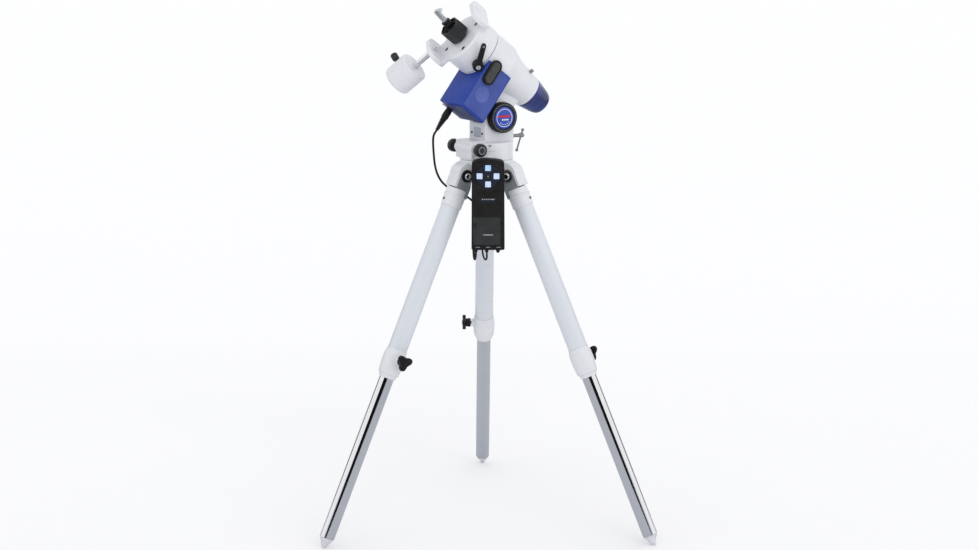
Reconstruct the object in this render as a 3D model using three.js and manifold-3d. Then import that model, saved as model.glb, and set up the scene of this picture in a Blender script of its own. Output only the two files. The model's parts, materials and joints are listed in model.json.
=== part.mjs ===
// Portable equatorial mount: a right-ascension head on a folding three-legged stand, with a
// motor drive, a hand controller and a counterweight.
// Millimetres, +Z up. The origin is on the floor, at the centre of the ground that the feet cover.
// Front, the side that the hand controller hangs on, is -Y.
import * as THREE from 'three';
import { mergeVertices } from 'three/addons/utils/BufferGeometryUtils.js';
import Module from 'manifold-3d';

const wasm = await Module();
wasm.setup();

const rad = THREE.MathUtils.degToRad;

// ---------------------------------------------------------------- driving dimensions
const gap = 0.3; // between faces that touch on the real object

// stand
const footCircle = 416.2;
const standTurn = 1.53; // degrees, the stand about the vertical
const pivotRadius = 62;
const pivotHeight = 790;
const legNames = ['left', 'right', 'rear'];
const legBearings = [210, 330, 90]; // degrees, seen from above

// one leg, distances measured down the leg from its pivot
const sleeveTop = 32;
const sleeveEnd = 73;
const upperTubeTop = 38;
const collarTop = 405;
const upperTubeEnd = 415;
const clampDistance = 427;
const collarEnd = 472;
const lowerTubeTop = 372;
const lowerTubeEnd = 842;
const upperTubeRadius = 21.5;
const lowerTubeRadius = 16.2;

// head: latitude, the turn about the vertical and the two axes' places
const latitude = 37;
const headBearing = 211.5; // degrees, the way the polar axis points, seen from above
const seamHeight = 824;
const baseTop = 863;
const baseRadius = 58.7;
const altitudeBack = 12; // altitude axis behind the vertical axis
const altitudeHeight = 917;
const faceAlong = 171; // from the altitude axis to the head's front face, along the polar axis
const faceUp = 94; // and square to the polar axis
const columnHalfWidth = 33;
const cheekRadius = 37.5;

// right-ascension housing and head, radii about the polar axis
const housingRadius = 56;
const headRadius = 57.5;
const headFace = -5; // front face of the head, between the ears
const headSeam = 61.5; // seam behind the head's origin
const shaftRadius = 22;
const wheelRadius = 40;
const headTurn = 232.3; // degrees, the counterweight's direction about the polar axis
const earGap = 60; // half the gap between the two ears
const earOuter = 70.5;
const earAxisHeight = 14;

// azimuth screws
const screwReach = 50;
const screwHeight = 850;
const azimuthKnobInner = 50;
const azimuthKnobOuter = 64;

// facets round a circle
const fine = 24;
const medium = 16;
const small = 10;

// hand controller, world-aligned
const caseWidth = 72;
const caseBottom = 637;
const caseTop = 835;
const caseFront = -106;
const caseBack = -75;
const caseCentre = 3.5;
const buttonSide = 12.5;
const buttonSpread = 18.2;
const buttonCentreHeight = 798.5;

// ---------------------------------------------------------------- colours and finishes
const finishes = {
  white_paint: [0xf2f3f4, 0.35, 0.1],
  blue_plastic: [0x23409c, 0.4, 0.0],
  dark_blue_plastic: [0x1b2a78, 0.3, 0.0],
  black_plastic: [0x1b1c1e, 0.5, 0.0],
  grey_plastic: [0x595c5a, 0.6, 0.0],
  chrome: [0xd8dadc, 0.12, 1.0],
  steel: [0xb4b6b8, 0.35, 0.9],
  brass: [0xc09a4a, 0.35, 0.9],
  cast_grey: [0xc3c8cc, 0.45, 0.3],
  foot_plastic: [0xd8d8d2, 0.6, 0.0],
  button_blue: [0x9cc4ee, 0.4, 0.0],
  cable_black: [0x101012, 0.6, 0.0],
};

function finish(name) {
  const [color, roughness, metalness] = finishes[name];
  return new THREE.MeshStandardMaterial({ color, roughness, metalness });
}

// ---------------------------------------------------------------- shape helpers
// A round body turned about Z from a profile of [radius, height] points.
function turned(profile, segments = medium) {
  const points = profile.map(([radius, height]) => new THREE.Vector2(radius, height));
  return new THREE.LatheGeometry(points, segments).rotateX(Math.PI / 2);
}

// A round bar along Z from low to high.
function bar(radius, low, high, segments = medium) {
  return turned([[0, low], [radius, low], [radius, high], [0, high]], segments);
}

// The profile of a tube along Z, closed on itself.
function tubeProfile(outer, inner, low, high) {
  return [[inner, low], [outer, low], [outer, high], [inner, high], [inner, low]];
}

// A box given by its lowest and highest corners.
function block(low, high) {
  const size = high.map((value, i) => value - low[i]);
  const centre = high.map((value, i) => (value + low[i]) / 2);
  return new THREE.BoxGeometry(...size).translate(...centre);
}

// A flat outline pushed along Z from low to high.
function plate(shape, low, high, curveSegments = 8) {
  const settings = { depth: high - low, bevelEnabled: false, curveSegments };
  return new THREE.ExtrudeGeometry(shape, settings).translate(0, 0, low);
}

function outline(points) {
  return new THREE.Shape(points.map(([x, y]) => new THREE.Vector2(x, y)));
}

// A rectangle with round corners, centred on a point.
function roundedRectangle(width, height, radius, x = 0, y = 0) {
  const shape = new THREE.Shape();
  const [right, top] = [x + width / 2, y + height / 2];
  const [left, bottom] = [x - width / 2, y - height / 2];
  shape.moveTo(left + radius, bottom);
  shape.absarc(right - radius, bottom + radius, radius, -Math.PI / 2, 0);
  shape.absarc(right - radius, top - radius, radius, 0, Math.PI / 2);
  shape.absarc(left + radius, top - radius, radius, Math.PI / 2, Math.PI);
  shape.absarc(left + radius, bottom + radius, radius, Math.PI, 1.5 * Math.PI);
  return shape;
}

// Turns a body made along Z so that it lies along X, or along Y.
const alongX = (geometry) => geometry.rotateY(Math.PI / 2);
const alongY = (geometry) => geometry.rotateX(-Math.PI / 2);

// Turns a plate so that its outline lies in X and Z and its thickness along Y.
const upright = (geometry) => geometry.rotateX(Math.PI / 2);

// Swaps the axes round: X to Y, Y to Z and Z to X.
const cycle = new THREE.Matrix4().makeBasis(
  new THREE.Vector3(0, 1, 0),
  new THREE.Vector3(0, 0, 1),
  new THREE.Vector3(1, 0, 0),
);

// Turns a plate so that its outline lies in Y and Z and its thickness along X.
const sideways = (geometry) => geometry.applyMatrix4(cycle);

// A regular outline with a given number of sides.
function polygon(radius, sides) {
  const shape = new THREE.Shape();
  for (let i = 0; i < sides; i += 1) {
    const angle = (2 * Math.PI * i) / sides;
    const point = [radius * Math.cos(angle), radius * Math.sin(angle)];
    if (i === 0) shape.moveTo(...point);
    else shape.lineTo(...point);
  }
  return shape;
}

// A round tube, filled, along a smooth curve through some points.
function cord(points, radius, sides, steps) {
  const extrudePath = new THREE.CatmullRomCurve3(points.map((point) => new THREE.Vector3(...point)));
  return new THREE.ExtrudeGeometry(polygon(radius, sides), { steps, extrudePath, bevelEnabled: false });
}

// A body with eight corners: four round its low end and four, in the same order, round its high end.
function wedge(lowCorners, highCorners) {
  const corners = [...lowCorners, ...highCorners];
  const faces = [[0, 2, 1], [0, 3, 2], [4, 5, 6], [4, 6, 7]];
  for (let i = 0; i < 4; i += 1) {
    const next = (i + 1) % 4;
    faces.push([i, next, next + 4], [i, next + 4, i + 4]);
  }
  const geometry = new THREE.BufferGeometry();
  geometry.setAttribute('position', new THREE.Float32BufferAttribute(corners.flat(), 3));
  geometry.setIndex(faces.flat());
  return geometry;
}

// ---------------------------------------------------------------- booleans
function toSolid(geometry) {
  const bare = geometry.clone();
  bare.deleteAttribute('normal');
  bare.deleteAttribute('uv');
  const merged = mergeVertices(bare, 1e-4);
  const index = Array.from(merged.index.array);
  const kept = [];
  for (let i = 0; i < index.length; i += 3) {
    const [a, b, c] = index.slice(i, i + 3);
    if (a !== b && b !== c && c !== a) kept.push(a, b, c);
  }
  const vertProperties = new Float32Array(merged.attributes.position.array);
  const triVerts = new Uint32Array(kept);
  return new wasm.Manifold(new wasm.Mesh({ numProp: 3, vertProperties, triVerts }));
}

function toGeometry(solid) {
  const mesh = solid.getMesh();
  const geometry = new THREE.BufferGeometry();
  geometry.setAttribute('position', new THREE.BufferAttribute(mesh.vertProperties, 3));
  geometry.setIndex(new THREE.BufferAttribute(mesh.triVerts, 1));
  return geometry;
}

function joined(geometries) {
  return geometries.map(toSolid).reduce((sum, solid) => sum.add(solid));
}

function cut(bodies, tools) {
  return toGeometry(tools.map(toSolid).reduce((rest, tool) => rest.subtract(tool), joined(bodies)));
}

// ---------------------------------------------------------------- assembly helpers
const part = new THREE.Group();

function add(group, name, geometry, finishName) {
  const mesh = new THREE.Mesh(geometry, finish(finishName));
  mesh.name = name;
  group.add(mesh);
  return mesh;
}

function subgroup(parent, x = 0, y = 0, z = 0) {
  const group = new THREE.Group();
  group.position.set(x, y, z);
  parent.add(group);
  return group;
}

// The vertical axis of the stand, set so that the feet cover ground centred on the origin.
const footAngles = legBearings.map((bearing) => rad(bearing + standTurn));
const footX = footAngles.map((angle) => footCircle * Math.cos(angle));
const footY = footAngles.map((angle) => footCircle * Math.sin(angle));
const stand = subgroup(
  part,
  -(Math.min(...footX) + Math.max(...footX)) / 2,
  -(Math.min(...footY) + Math.max(...footY)) / 2,
);

// ---------------------------------------------------------------- stand: legs
// A leg's own frame: origin at its pivot, X outwards, Y along the pivot bolt, Z up the leg.
const legTilt = Math.atan2(footCircle - pivotRadius, pivotHeight);
const legLength = Math.hypot(footCircle - pivotRadius, pivotHeight);
const forkInner = 12;
const forkOuter = 20;
const forkRadius = 13;
const forkBack = 20;
const boltRadius = 5;
const boltEnd = forkOuter + 7;
const stemRadius = 3;
const bossEnd = 30;
const plugRadius = 13.2;

// Fork round the hub's lug, with the sleeve that the upper tube is pressed into.
function legFitting() {
  const eye = new THREE.Shape();
  eye.moveTo(-forkBack, -sleeveTop - 4);
  eye.lineTo(forkRadius, -sleeveTop - 4);
  eye.lineTo(forkRadius, 0);
  eye.absarc(0, 0, forkRadius, 0, rad(150));
  eye.lineTo(-forkBack, -22);
  const cheeks = [-forkOuter, forkInner].map((low) => upright(plate(eye, low, low + forkOuter - forkInner)));
  const sleeve = turned([
    [0, -sleeveEnd], [23.2, -sleeveEnd], [23.6, -50], [24.6, -49], [24.6, -46], [22.6, -45],
    [22.6, -sleeveTop], [0, -sleeveTop],
  ]);
  const bore = bar(upperTubeRadius + gap, -sleeveEnd - 1, -upperTubeTop + gap);
  const boltHole = alongY(bar(boltRadius + gap, -forkOuter - 1, forkOuter + 1, small));
  return cut([sleeve, ...cheeks], [bore, boltHole]);
}

function upperTube() {
  return turned(tubeProfile(upperTubeRadius, 18, -upperTubeEnd, -upperTubeTop));
}

// Clamp collar: a bush on the end of the upper tube, with a boss for the clamp screw.
function legCollar() {
  const body = turned([
    [lowerTubeRadius + gap, -collarEnd], [18.6, -collarEnd], [19.2, -collarEnd + 7],
    [23, -collarEnd + 9], [25.2, -collarEnd + 30], [25.2, -collarTop - 12], [22.6, -collarTop],
    [upperTubeRadius + gap, -collarTop], [upperTubeRadius + gap, -upperTubeEnd - gap],
    [lowerTubeRadius + gap, -upperTubeEnd - gap], [lowerTubeRadius + gap, -collarEnd],
  ]);
  const boss = alongY(bar(9, 20, bossEnd, small)).translate(0, 0, -clampDistance);
  const bore = bar(lowerTubeRadius + gap, -collarEnd - 1, -upperTubeEnd - gap);
  const screwHole = alongY(bar(stemRadius + gap, 10, bossEnd + 1, small)).translate(0, 0, -clampDistance);
  return cut([body, boss], [bore, screwHole]);
}

// Lower tube, with a guide ring at its top that runs inside the upper tube.
function lowerTube() {
  const inside = plugRadius + gap;
  return turned([
    [inside, -lowerTubeEnd], [lowerTubeRadius, -lowerTubeEnd], [lowerTubeRadius, -lowerTubeTop - 12],
    [17.6, -lowerTubeTop - 12], [17.6, -lowerTubeTop], [inside, -lowerTubeTop], [inside, -lowerTubeEnd],
  ]);
}

// Pointed foot, plugged into the lower tube and worn flat where it meets the floor.
function footTip() {
  const cone = turned([
    [0, -legLength - 2], [3, -legLength - 2], [14.6, -lowerTubeEnd - 5],
    [lowerTubeRadius - 0.4, -lowerTubeEnd - gap], [plugRadius, -lowerTubeEnd - gap],
    [plugRadius, -lowerTubeEnd + 22], [0, -lowerTubeEnd + 22],
  ]);
  const floor = block([-40, -40, -60], [40, 40, 0]).translate(footCircle - pivotRadius, 0, -pivotHeight);
  return cut([cone], [floor.rotateY(legTilt)]);
}

// Three-lobed clamp knob on its screw. It points along +Y of the leg.
function legKnob() {
  const lobes = new THREE.Shape();
  const steps = 24;
  for (let i = 0; i < steps; i += 1) {
    const angle = (2 * Math.PI * i) / steps;
    const radius = 15 + 4 * Math.cos(3 * angle);
    const point = [radius * Math.sin(angle), radius * Math.cos(angle)];
    if (i === 0) lobes.moveTo(...point);
    else lobes.lineTo(...point);
  }
  const disc = plate(lobes, 43, 51);
  const stem = bar(stemRadius, lowerTubeRadius + gap, 35, small);
  const hub = turned([[0, 31.5], [9, 31.5], [10.5, 33.5], [9.5, 43.5], [0, 43.5]]);
  return alongY(toGeometry(joined([disc, hub, stem]))).translate(0, 0, -clampDistance);
}

// Pivot bolt with its two washers. It lies along Y of the leg.
function pivotBolt() {
  const [washerIn, washerOut] = [forkOuter + gap, forkOuter + 2.5];
  return alongY(turned([
    [0, -boltEnd], [7.6, -boltEnd], [7.6, -washerOut], [13.5, -washerOut], [13.5, -washerIn],
    [boltRadius, -washerIn], [boltRadius, washerIn], [13.5, washerIn], [13.5, washerOut],
    [7.6, washerOut], [7.6, boltEnd], [0, boltEnd],
  ], small));
}

function buildLegs() {
  legNames.forEach((name, i) => {
    const bearing = subgroup(stand);
    bearing.rotation.z = footAngles[i];
    const pivot = subgroup(bearing, pivotRadius, 0, pivotHeight);
    add(pivot, `leg_pivot_bolt_${name}`, pivotBolt(), 'chrome');
    const leg = subgroup(pivot);
    leg.rotation.y = -legTilt;
    add(leg, `leg_fitting_${name}`, legFitting(), 'cast_grey');
    add(leg, `upper_tube_${name}`, upperTube(), 'white_paint');
    add(leg, `leg_collar_${name}`, legCollar(), 'white_paint');
    add(leg, `lower_tube_${name}`, lowerTube(), 'chrome');
    add(leg, `foot_tip_${name}`, footTip(), 'foot_plastic');
    add(leg, `leg_clamp_knob_${name}`, legKnob(), 'black_plastic');
  });
}

// ---------------------------------------------------------------- stand: hub
const hubCoreRadius = 34;
const hubCoreBottom = 768;
const hubTop = seamHeight - gap;
const roofInner = forkRadius + 0.8;
const roofOuter = 21;
const centreBoltRadius = 6;

// A point in a leg's upright plane, down the leg and out from it, as [radius, height].
function legPoint(down, out) {
  return [
    pivotRadius + down * Math.sin(legTilt) + out * Math.cos(legTilt),
    pivotHeight - down * Math.cos(legTilt) + out * Math.sin(legTilt),
  ];
}

// Hub: a round top plate on a core, and for each leg a roof over the fork and a lug inside it.
function tripodHead() {
  const roof = new THREE.Shape();
  roof.moveTo(20, hubTop - 12);
  roof.lineTo(20, hubTop - 2.5);
  roof.lineTo(54, hubTop - 2.5);
  roof.quadraticCurveTo(80, 814, ...legPoint(2, roofOuter));
  roof.lineTo(...legPoint(sleeveTop - 2, roofOuter));
  roof.lineTo(...legPoint(sleeveTop - 2, roofInner));
  roof.lineTo(...legPoint(0, roofInner));
  roof.absarc(pivotRadius, pivotHeight, roofInner, legTilt, rad(120));
  const lug = new THREE.Shape();
  lug.moveTo(20, hubCoreBottom + 4);
  lug.lineTo(pivotRadius - 4, pivotHeight - forkRadius);
  lug.absarc(pivotRadius, pivotHeight, forkRadius, -Math.PI / 2, Math.PI / 4);
  lug.lineTo(pivotRadius + 4, 807);
  lug.lineTo(20, 812);
  const core = turned([
    [0, hubCoreBottom], [hubCoreRadius, hubCoreBottom], [hubCoreRadius, 806], [54, 812],
    [baseRadius, 815], [baseRadius, hubTop], [0, hubTop],
  ], fine);
  const bodies = [core];
  const tools = [bar(centreBoltRadius + gap, hubCoreBottom - 1, seamHeight + 1)];
  const web = forkInner - gap;
  for (const angle of footAngles) {
    bodies.push(upright(plate(roof, -forkOuter, forkOuter, 5)).rotateZ(angle));
    bodies.push(upright(plate(lug, -web, web, 4)).rotateZ(angle));
    const hole = alongY(bar(boltRadius + gap, -30, 30, small)).translate(pivotRadius, 0, pivotHeight);
    tools.push(hole.rotateZ(angle));
  }
  return cut(bodies, tools);
}

// Bolt that clamps the head to the hub, with its hand knob below the hub.
function centreBolt() {
  return turned([
    [0, 706], [16, 706], [22, 710], [22, 726], [18, 731], [10, 734], [10, hubCoreBottom - gap],
    [centreBoltRadius, hubCoreBottom - gap], [centreBoltRadius, seamHeight + 18],
    [0, seamHeight + 18],
  ]);
}

function buildHub() {
  add(stand, 'tripod_head', tripodHead(), 'white_paint');
  add(stand, 'centre_bolt', centreBolt(), 'black_plastic');
}

// ---------------------------------------------------------------- azimuth body
// Its own frame: origin on the floor under the vertical axis, X the way the polar axis points.
const azimuth = subgroup(stand);
azimuth.rotation.z = rad(headBearing);
const pocketHalf = 16;
const azimuthScrewRadius = 4;
const tBoltHeight = 869;
const tBoltRadius = 3.9;
const tBoltTip = -19.5;
const axleRadius = 9;
const cheekInner = 20;
const columnFront = 24;
const columnRear = -50;
const windowLow = 872.5;
const windowHigh = 893.5;
const hangerLow = 822.5;

// Round base with the block of the azimuth screws, and a fork for the housing's lug.
function azimuthBase() {
  const base = turned([
    [0, seamHeight], [baseRadius, seamHeight], [baseRadius, baseTop - 1.5],
    [baseRadius - 1.5, baseTop], [0, baseTop],
  ], fine);
  const screwBlock = block([18, -columnHalfWidth, seamHeight + 4], [59, columnHalfWidth, 867]);
  const screwBoss = alongY(bar(11.5, -36, 36, small)).translate(screwReach, 0, screwHeight);
  const cheek = new THREE.Shape();
  cheek.moveTo(columnRear, baseTop - 4);
  cheek.lineTo(columnFront, baseTop - 4);
  cheek.lineTo(columnFront, altitudeHeight);
  cheek.absarc(-altitudeBack, altitudeHeight, cheekRadius, 0, Math.PI);
  cheek.lineTo(columnRear, altitudeHeight - 12);
  const column = upright(plate(cheek, -columnHalfWidth, columnHalfWidth, 10));
  const boss = alongY(bar(cheekRadius, columnHalfWidth - 1, columnHalfWidth + 4, fine));
  const hanger = block([caseCentre - 10, caseBack + gap, hangerLow], [caseCentre + 10, -50, hangerLow + 8]);
  const bodies = [base, screwBlock, screwBoss, column];
  bodies.push(boss.translate(-altitudeBack, 0, altitudeHeight));
  bodies.push(hanger.translate(0, 0, 3).rotateZ(-azimuth.rotation.z));
  const tools = [
    block([-40, -cheekInner, 858], [14, cheekInner, 990]),
    block([-80, -cheekInner, 892], [-30, cheekInner, 990]),
    block([0, -cheekInner, 904], [40, cheekInner, 990]),
    block([44, -pocketHalf, seamHeight - 1], [56, pocketHalf, 861]),
    alongY(bar(azimuthScrewRadius + gap, -60, 60, small)).translate(screwReach, 0, screwHeight),
    alongY(bar(axleRadius + gap, -60, 60)).translate(-altitudeBack, 0, altitudeHeight),
    alongX(bar(tBoltRadius + gap, -70, -30, small)).translate(0, 0, tBoltHeight),
    bar(centreBoltRadius + gap, seamHeight - 1, seamHeight + 20),
    block([10, -15, windowLow], [30, 15, windowHigh]),
  ];
  return cut(bodies, tools);
}

// Cover plate of the window in the fork's front wall.
function columnWindow() {
  return block([18, -15 + gap, windowLow + gap], [21.5, 15 - gap, windowHigh - gap]);
}

// Pin on the hub that the azimuth screws push against.
function azimuthPin() {
  return bar(4.5, seamHeight, 858, small).translate(screwReach, 0, 0);
}

// Azimuth screw and knob. side is 1 for the front one and -1 for the rear one.
function azimuthScrew(side) {
  const [inner, outer] = [azimuthKnobInner, azimuthKnobOuter];
  const screw = alongY(turned([
    [0, 4.8], [azimuthScrewRadius, 4.8], [azimuthScrewRadius, inner], [13, inner], [14.5, inner + 1.5],
    [14.5, outer - 3], [12.5, outer - 1], [10, outer - 1], [9.2, outer], [0, outer],
  ]));
  if (side < 0) screw.rotateZ(Math.PI);
  return screw.translate(screwReach, 0, screwHeight);
}

// Rear altitude bolt with its sliding cross bar.
function altitudeBolt() {
  const rod = alongX(turned([
    [0, -97], [3, -97], [4.6, -95], [4.6, -84], [tBoltRadius, -84], [tBoltRadius, tBoltTip], [0, tBoltTip],
  ], small)).translate(0, 0, tBoltHeight);
  const cross = turned([
    [0, -42.5], [3.2, -41], [3.2, -37.5], [1.9, -36.5], [1.9, 11.5], [3.2, 12.5], [3.2, 16], [0, 17.5],
  ], small);
  cross.rotateX(-rad(27)).translate(-90, 0, tBoltHeight);
  return toGeometry(joined([rod, cross]));
}

function buildAzimuth() {
  add(azimuth, 'azimuth_base', azimuthBase(), 'white_paint');
  add(azimuth, 'column_window', columnWindow(), 'grey_plastic');
  add(azimuth, 'azimuth_pin', azimuthPin(), 'steel');
  add(azimuth, 'azimuth_knob_front', azimuthScrew(1), 'black_plastic');
  add(azimuth, 'azimuth_knob_rear', azimuthScrew(-1), 'black_plastic');
  add(azimuth, 'altitude_bolt', altitudeBolt(), 'chrome');
}

// ---------------------------------------------------------------- altitude axle and scale
// Its own frame: origin on the altitude axis, X up the polar axis, Y along the altitude axis.
const tilt = subgroup(azimuth, -altitudeBack, 0, altitudeHeight);
tilt.rotation.y = -rad(latitude);
const ringStart = columnHalfWidth + 4 + gap;
const badgeBack = 53;

function altitudeAxle() {
  return alongY(turned([
    [0, -44], [11, -44], [13, -42], [13, -columnHalfWidth - gap], [axleRadius, -columnHalfWidth - gap],
    [axleRadius, ringStart - 2 * gap], [0, ringStart - 2 * gap],
  ]));
}

function latitudeRing() {
  return alongY(turned([
    [0, ringStart], [33.4, ringStart], [33.4, 54], [32, 56], [27.3, 56], [27.3, badgeBack], [0, badgeBack],
  ], fine));
}

function latitudeBadge() {
  return alongY(bar(27, badgeBack + gap, badgeBack + 2.4, fine));
}

function buildAltitude() {
  add(tilt, 'altitude_axle', altitudeAxle(), 'steel');
  add(tilt, 'latitude_ring', latitudeRing(), 'black_plastic');
  add(tilt, 'latitude_badge', latitudeBadge(), 'blue_plastic');
}

// ---------------------------------------------------------------- polar housing and drive
// Its own frame: origin on the polar axis at the head's front face, X along the altitude axis,
// Y square to both and Z up the polar axis.
const polar = subgroup(tilt, faceAlong, 0, faceUp);
polar.quaternion.setFromRotationMatrix(cycle);
const axleY = -faceUp;
const axleZ = -faceAlong;
const housingEnd = 216;
const capEnd = 268;
const rearLand = 150;
const wormY = -49;
const wormZ = -94;
const scopeScrewZ = -183;
const scopeScrewAngle = rad(51.5);
const coverLow = -133;
const coverHigh = -64;
const coverSide = 56.5;
const coverFar = -41;
const coverWall = 2.6;
const plugX = -24;
const plugZ = -88;
const plugFace = -138.5;

// Housing: a hollow turned body with a lug on the altitude axle and a window for the worm.
function raHousing() {
  const seam = -headSeam - 0.6;
  const wall = turned([
    [31, -housingEnd], [37, -housingEnd], [37.6, -206], [44, -157], [52, -132], [housingRadius, -121],
    [housingRadius, seam], [30, seam], [30, -66], [46, -66], [46, -118],
    [shaftRadius + gap, -118], [shaftRadius + gap, -rearLand], [31, -rearLand - 4], [31, -housingEnd],
  ], fine);
  const lug = new THREE.Shape();
  lug.moveTo(-34.5, -200);
  lug.lineTo(axleY, axleZ - 22);
  lug.absarc(axleY, axleZ, 22, -Math.PI / 2, Math.PI / 2, true);
  lug.lineTo(-62, coverLow - 1);
  lug.lineTo(-40, coverLow - 1);
  const half = cheekInner - 0.6;
  const web = sideways(plate(lug, -half, half, 8));
  const tail = sideways(plate(outline([[-50, -6], [0, -6], [0, 6], [-50, 6]]), -half, half));
  tail.rotateX(rad(latitude)).translate(0, axleY, axleZ);
  const screwHole = alongX(bar(3.5, 20, 60, small)).rotateZ(scopeScrewAngle).translate(0, 0, scopeScrewZ);
  const tools = [
    block([-32, -62, wormZ - 12], [32, -30, wormZ + 12]),
    alongX(bar(axleRadius + gap, -60, 60)).translate(0, axleY, axleZ),
    screwHole,
  ];
  return cut([wall, web, tail], tools);
}

// Corners of the motor cover's box, moved in by a wall thickness.
function coverBox(wall) {
  const [far, side] = [coverFar + wall, coverSide - wall];
  const top = wall > 0 ? -22 : -16;
  const high = [[far, top], [far, -130 + wall], [side, -132 + wall], [side, top]];
  const low = [[far, top], [far, -131 + wall], [side, -134 + wall], [side, top]];
  return wedge(
    low.map(([x, y]) => [x, y, coverLow + wall]),
    high.map(([x, y]) => [x, y, coverHigh - wall]),
  );
}

// Motor cover: a thin box with a slanted floor, open where it wraps round the housing.
function motorCover() {
  const tools = [
    bar(housingRadius + 0.4, coverLow - 1, coverHigh + 1, fine),
    coverBox(coverWall),
    alongX(bar(4, 50, 60, small)).translate(0, wormY, wormZ),
    alongY(bar(8, -160, -120, small)).translate(plugX, 0, plugZ),
  ];
  return cut([coverBox(0)], tools);
}

// Cap over the worm's hand-turning end.
function knobCover() {
  const face = roundedRectangle(59, 28, 13.9, -35, -84);
  return sideways(plate(face, coverSide + gap, coverSide + 7.5, 8));
}

function raMotor() {
  return alongX(turned([
    [0, -33], [17, -33], [17, 20], [6, 20], [6, 26], [2, 26], [2, 34], [0, 34],
  ])).translate(0, -102, -98);
}

// Worm on its shaft, with a slotted end under the cap.
function worm() {
  const rings = [];
  const pitch = 8;
  for (let x = -16; x < 16; x += pitch) rings.push([5.6, x], [7.4, x + pitch / 4], [7.4, x + pitch / 2]);
  const profile = [[0, -33], [3, -33], [3, -16.5], ...rings, [5.6, 16], [3, 16.5], [3, 56], [0, 56]];
  return alongX(turned(profile, small)).translate(0, wormY, wormZ);
}

// Worm wheel, a toothed ring on the polar shaft.
function wormWheel() {
  const teeth = 40;
  const shape = new THREE.Shape();
  for (let i = 0; i < 2 * teeth; i += 1) {
    const angle = (Math.PI * i) / teeth;
    const radius = i % 2 === 0 ? wheelRadius + 1 : wheelRadius - 1;
    const point = [radius * Math.cos(angle), radius * Math.sin(angle)];
    if (i === 0) shape.moveTo(...point);
    else shape.lineTo(...point);
  }
  shape.holes.push(new THREE.Path(polygon(shaftRadius + gap, fine).getPoints()));
  return plate(shape, wormZ - 6, wormZ + 6);
}

// Polar telescope inside the hollow shaft, clamped by its flange.
function polarScope() {
  return turned([
    [0, -243], [14, -243], [17, -240], [17, -206], [13, -206], [13, -190], [30.4, -190], [30.4, -178],
    [12.5, -178], [12.5, -24], [0, -24],
  ]);
}

// Screw in the housing's wall that holds the telescope's flange.
function scopeScrew() {
  const screw = turned([[0, 30.8], [3.2, 30.8], [3.2, 42], [5.4, 42], [5.4, 48], [0, 48.6]], small);
  return alongX(screw).rotateZ(scopeScrewAngle).translate(0, 0, scopeScrewZ);
}

// Cap over the telescope's eyepiece, a cup that pulls off the housing's end.
function polarCap() {
  return turned([
    [0, -capEnd], [20, -capEnd], [25.5, -capEnd + 4], [28.5, -capEnd + 12], [36.5, -housingEnd - gap],
    [33, -housingEnd - gap], [26, -capEnd + 14], [0, -capEnd + 6],
  ], fine);
}

// Plug of the drive's cable, with its ribbed sleeve, in the cover's floor.
function cablePlug() {
  const plug = turned([
    [0, -11], [7.4, -11], [7.4, 3], [8, 3.6], [8, 20], [6.6, 22], [6.6, 34], [5, 37], [3.4, 56], [0, 56],
  ], small);
  return plug.rotateX(Math.PI / 2).translate(plugX, plugFace, plugZ);
}

function buildPolar() {
  add(polar, 'ra_housing', raHousing(), 'white_paint');
  add(polar, 'motor_cover', motorCover(), 'blue_plastic');
  add(polar, 'knob_cover', knobCover(), 'black_plastic');
  add(polar, 'ra_motor', raMotor(), 'steel');
  add(polar, 'worm', worm(), 'steel');
  add(polar, 'worm_wheel', wormWheel(), 'brass');
  add(polar, 'polar_scope', polarScope(), 'black_plastic');
  add(polar, 'scope_screw', scopeScrew(), 'steel');
  add(polar, 'polar_cap', polarCap(), 'dark_blue_plastic');
  add(polar, 'cable_plug', cablePlug(), 'black_plastic');
}

// ---------------------------------------------------------------- turning head
// Its own frame: as the polar housing's, turned so that X points down the counterweight shaft.
const head = subgroup(polar);
head.rotation.z = rad(headTurn);
const earBottom = -15;
const earTip = 31;
const earHalf = 36;
const holeCircle = 44;
const leverZ = -49;
const leverReach = 51;
const leverAngle = 147;
const weightInner = 121;
const weightOuter = 181;
const weightRadius = 34.5;
const rodRadius = 7;
const ballHeight = 20;
const lean = 8;

// Hollow shaft that the head and the worm wheel turn on, with its lock ring.
function polarShaft() {
  return turned([
    [14, -164], [28, -164], [28, -156], [shaftRadius, -156], [shaftRadius, -13.6], [14, -13.6], [14, -164],
  ]);
}

// Head: a round cup with two ears, four screw holes in its face and a hole through each ear.
function raHead() {
  const cup = turned([
    [shaftRadius + gap, -headSeam + gap], [55.5, -headSeam + gap], [headRadius, -headSeam + 2],
    [headRadius, headFace - 3], [headRadius - 3, headFace], [8, headFace], [8, headFace - 8],
    [shaftRadius + gap, headFace - 8], [shaftRadius + gap, -headSeam + gap],
  ], fine);
  const ear = new THREE.Shape();
  ear.moveTo(-32, earBottom);
  ear.lineTo(32, earBottom);
  ear.lineTo(earHalf, -4);
  ear.lineTo(earHalf, 8);
  ear.quadraticCurveTo(earHalf, 28, 13, earTip);
  ear.lineTo(-13, earTip);
  ear.quadraticCurveTo(-earHalf, 28, -earHalf, 8);
  ear.lineTo(-earHalf, -4);
  const bodies = [cup];
  const tools = [alongX(bar(rodRadius + gap, -80, 80)).translate(0, 0, earAxisHeight)];
  for (const angle of [0, Math.PI]) {
    bodies.push(sideways(plate(ear, earGap, earOuter, 6)).rotateZ(angle));
    bodies.push(block([40, -32, earBottom], [earGap + 1, 32, headFace - 0.4]).rotateZ(angle));
  }
  for (let i = 0; i < 4; i += 1) {
    tools.push(bar(4.7, headFace - 12, headFace + 1, small).translate(holeCircle, 0, 0).rotateZ((i * Math.PI) / 2));
  }
  tools.push(alongY(bar(4 + gap, 40, 60, small)).translate(0, 0, leverZ));
  return cut(bodies, tools);
}

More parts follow.
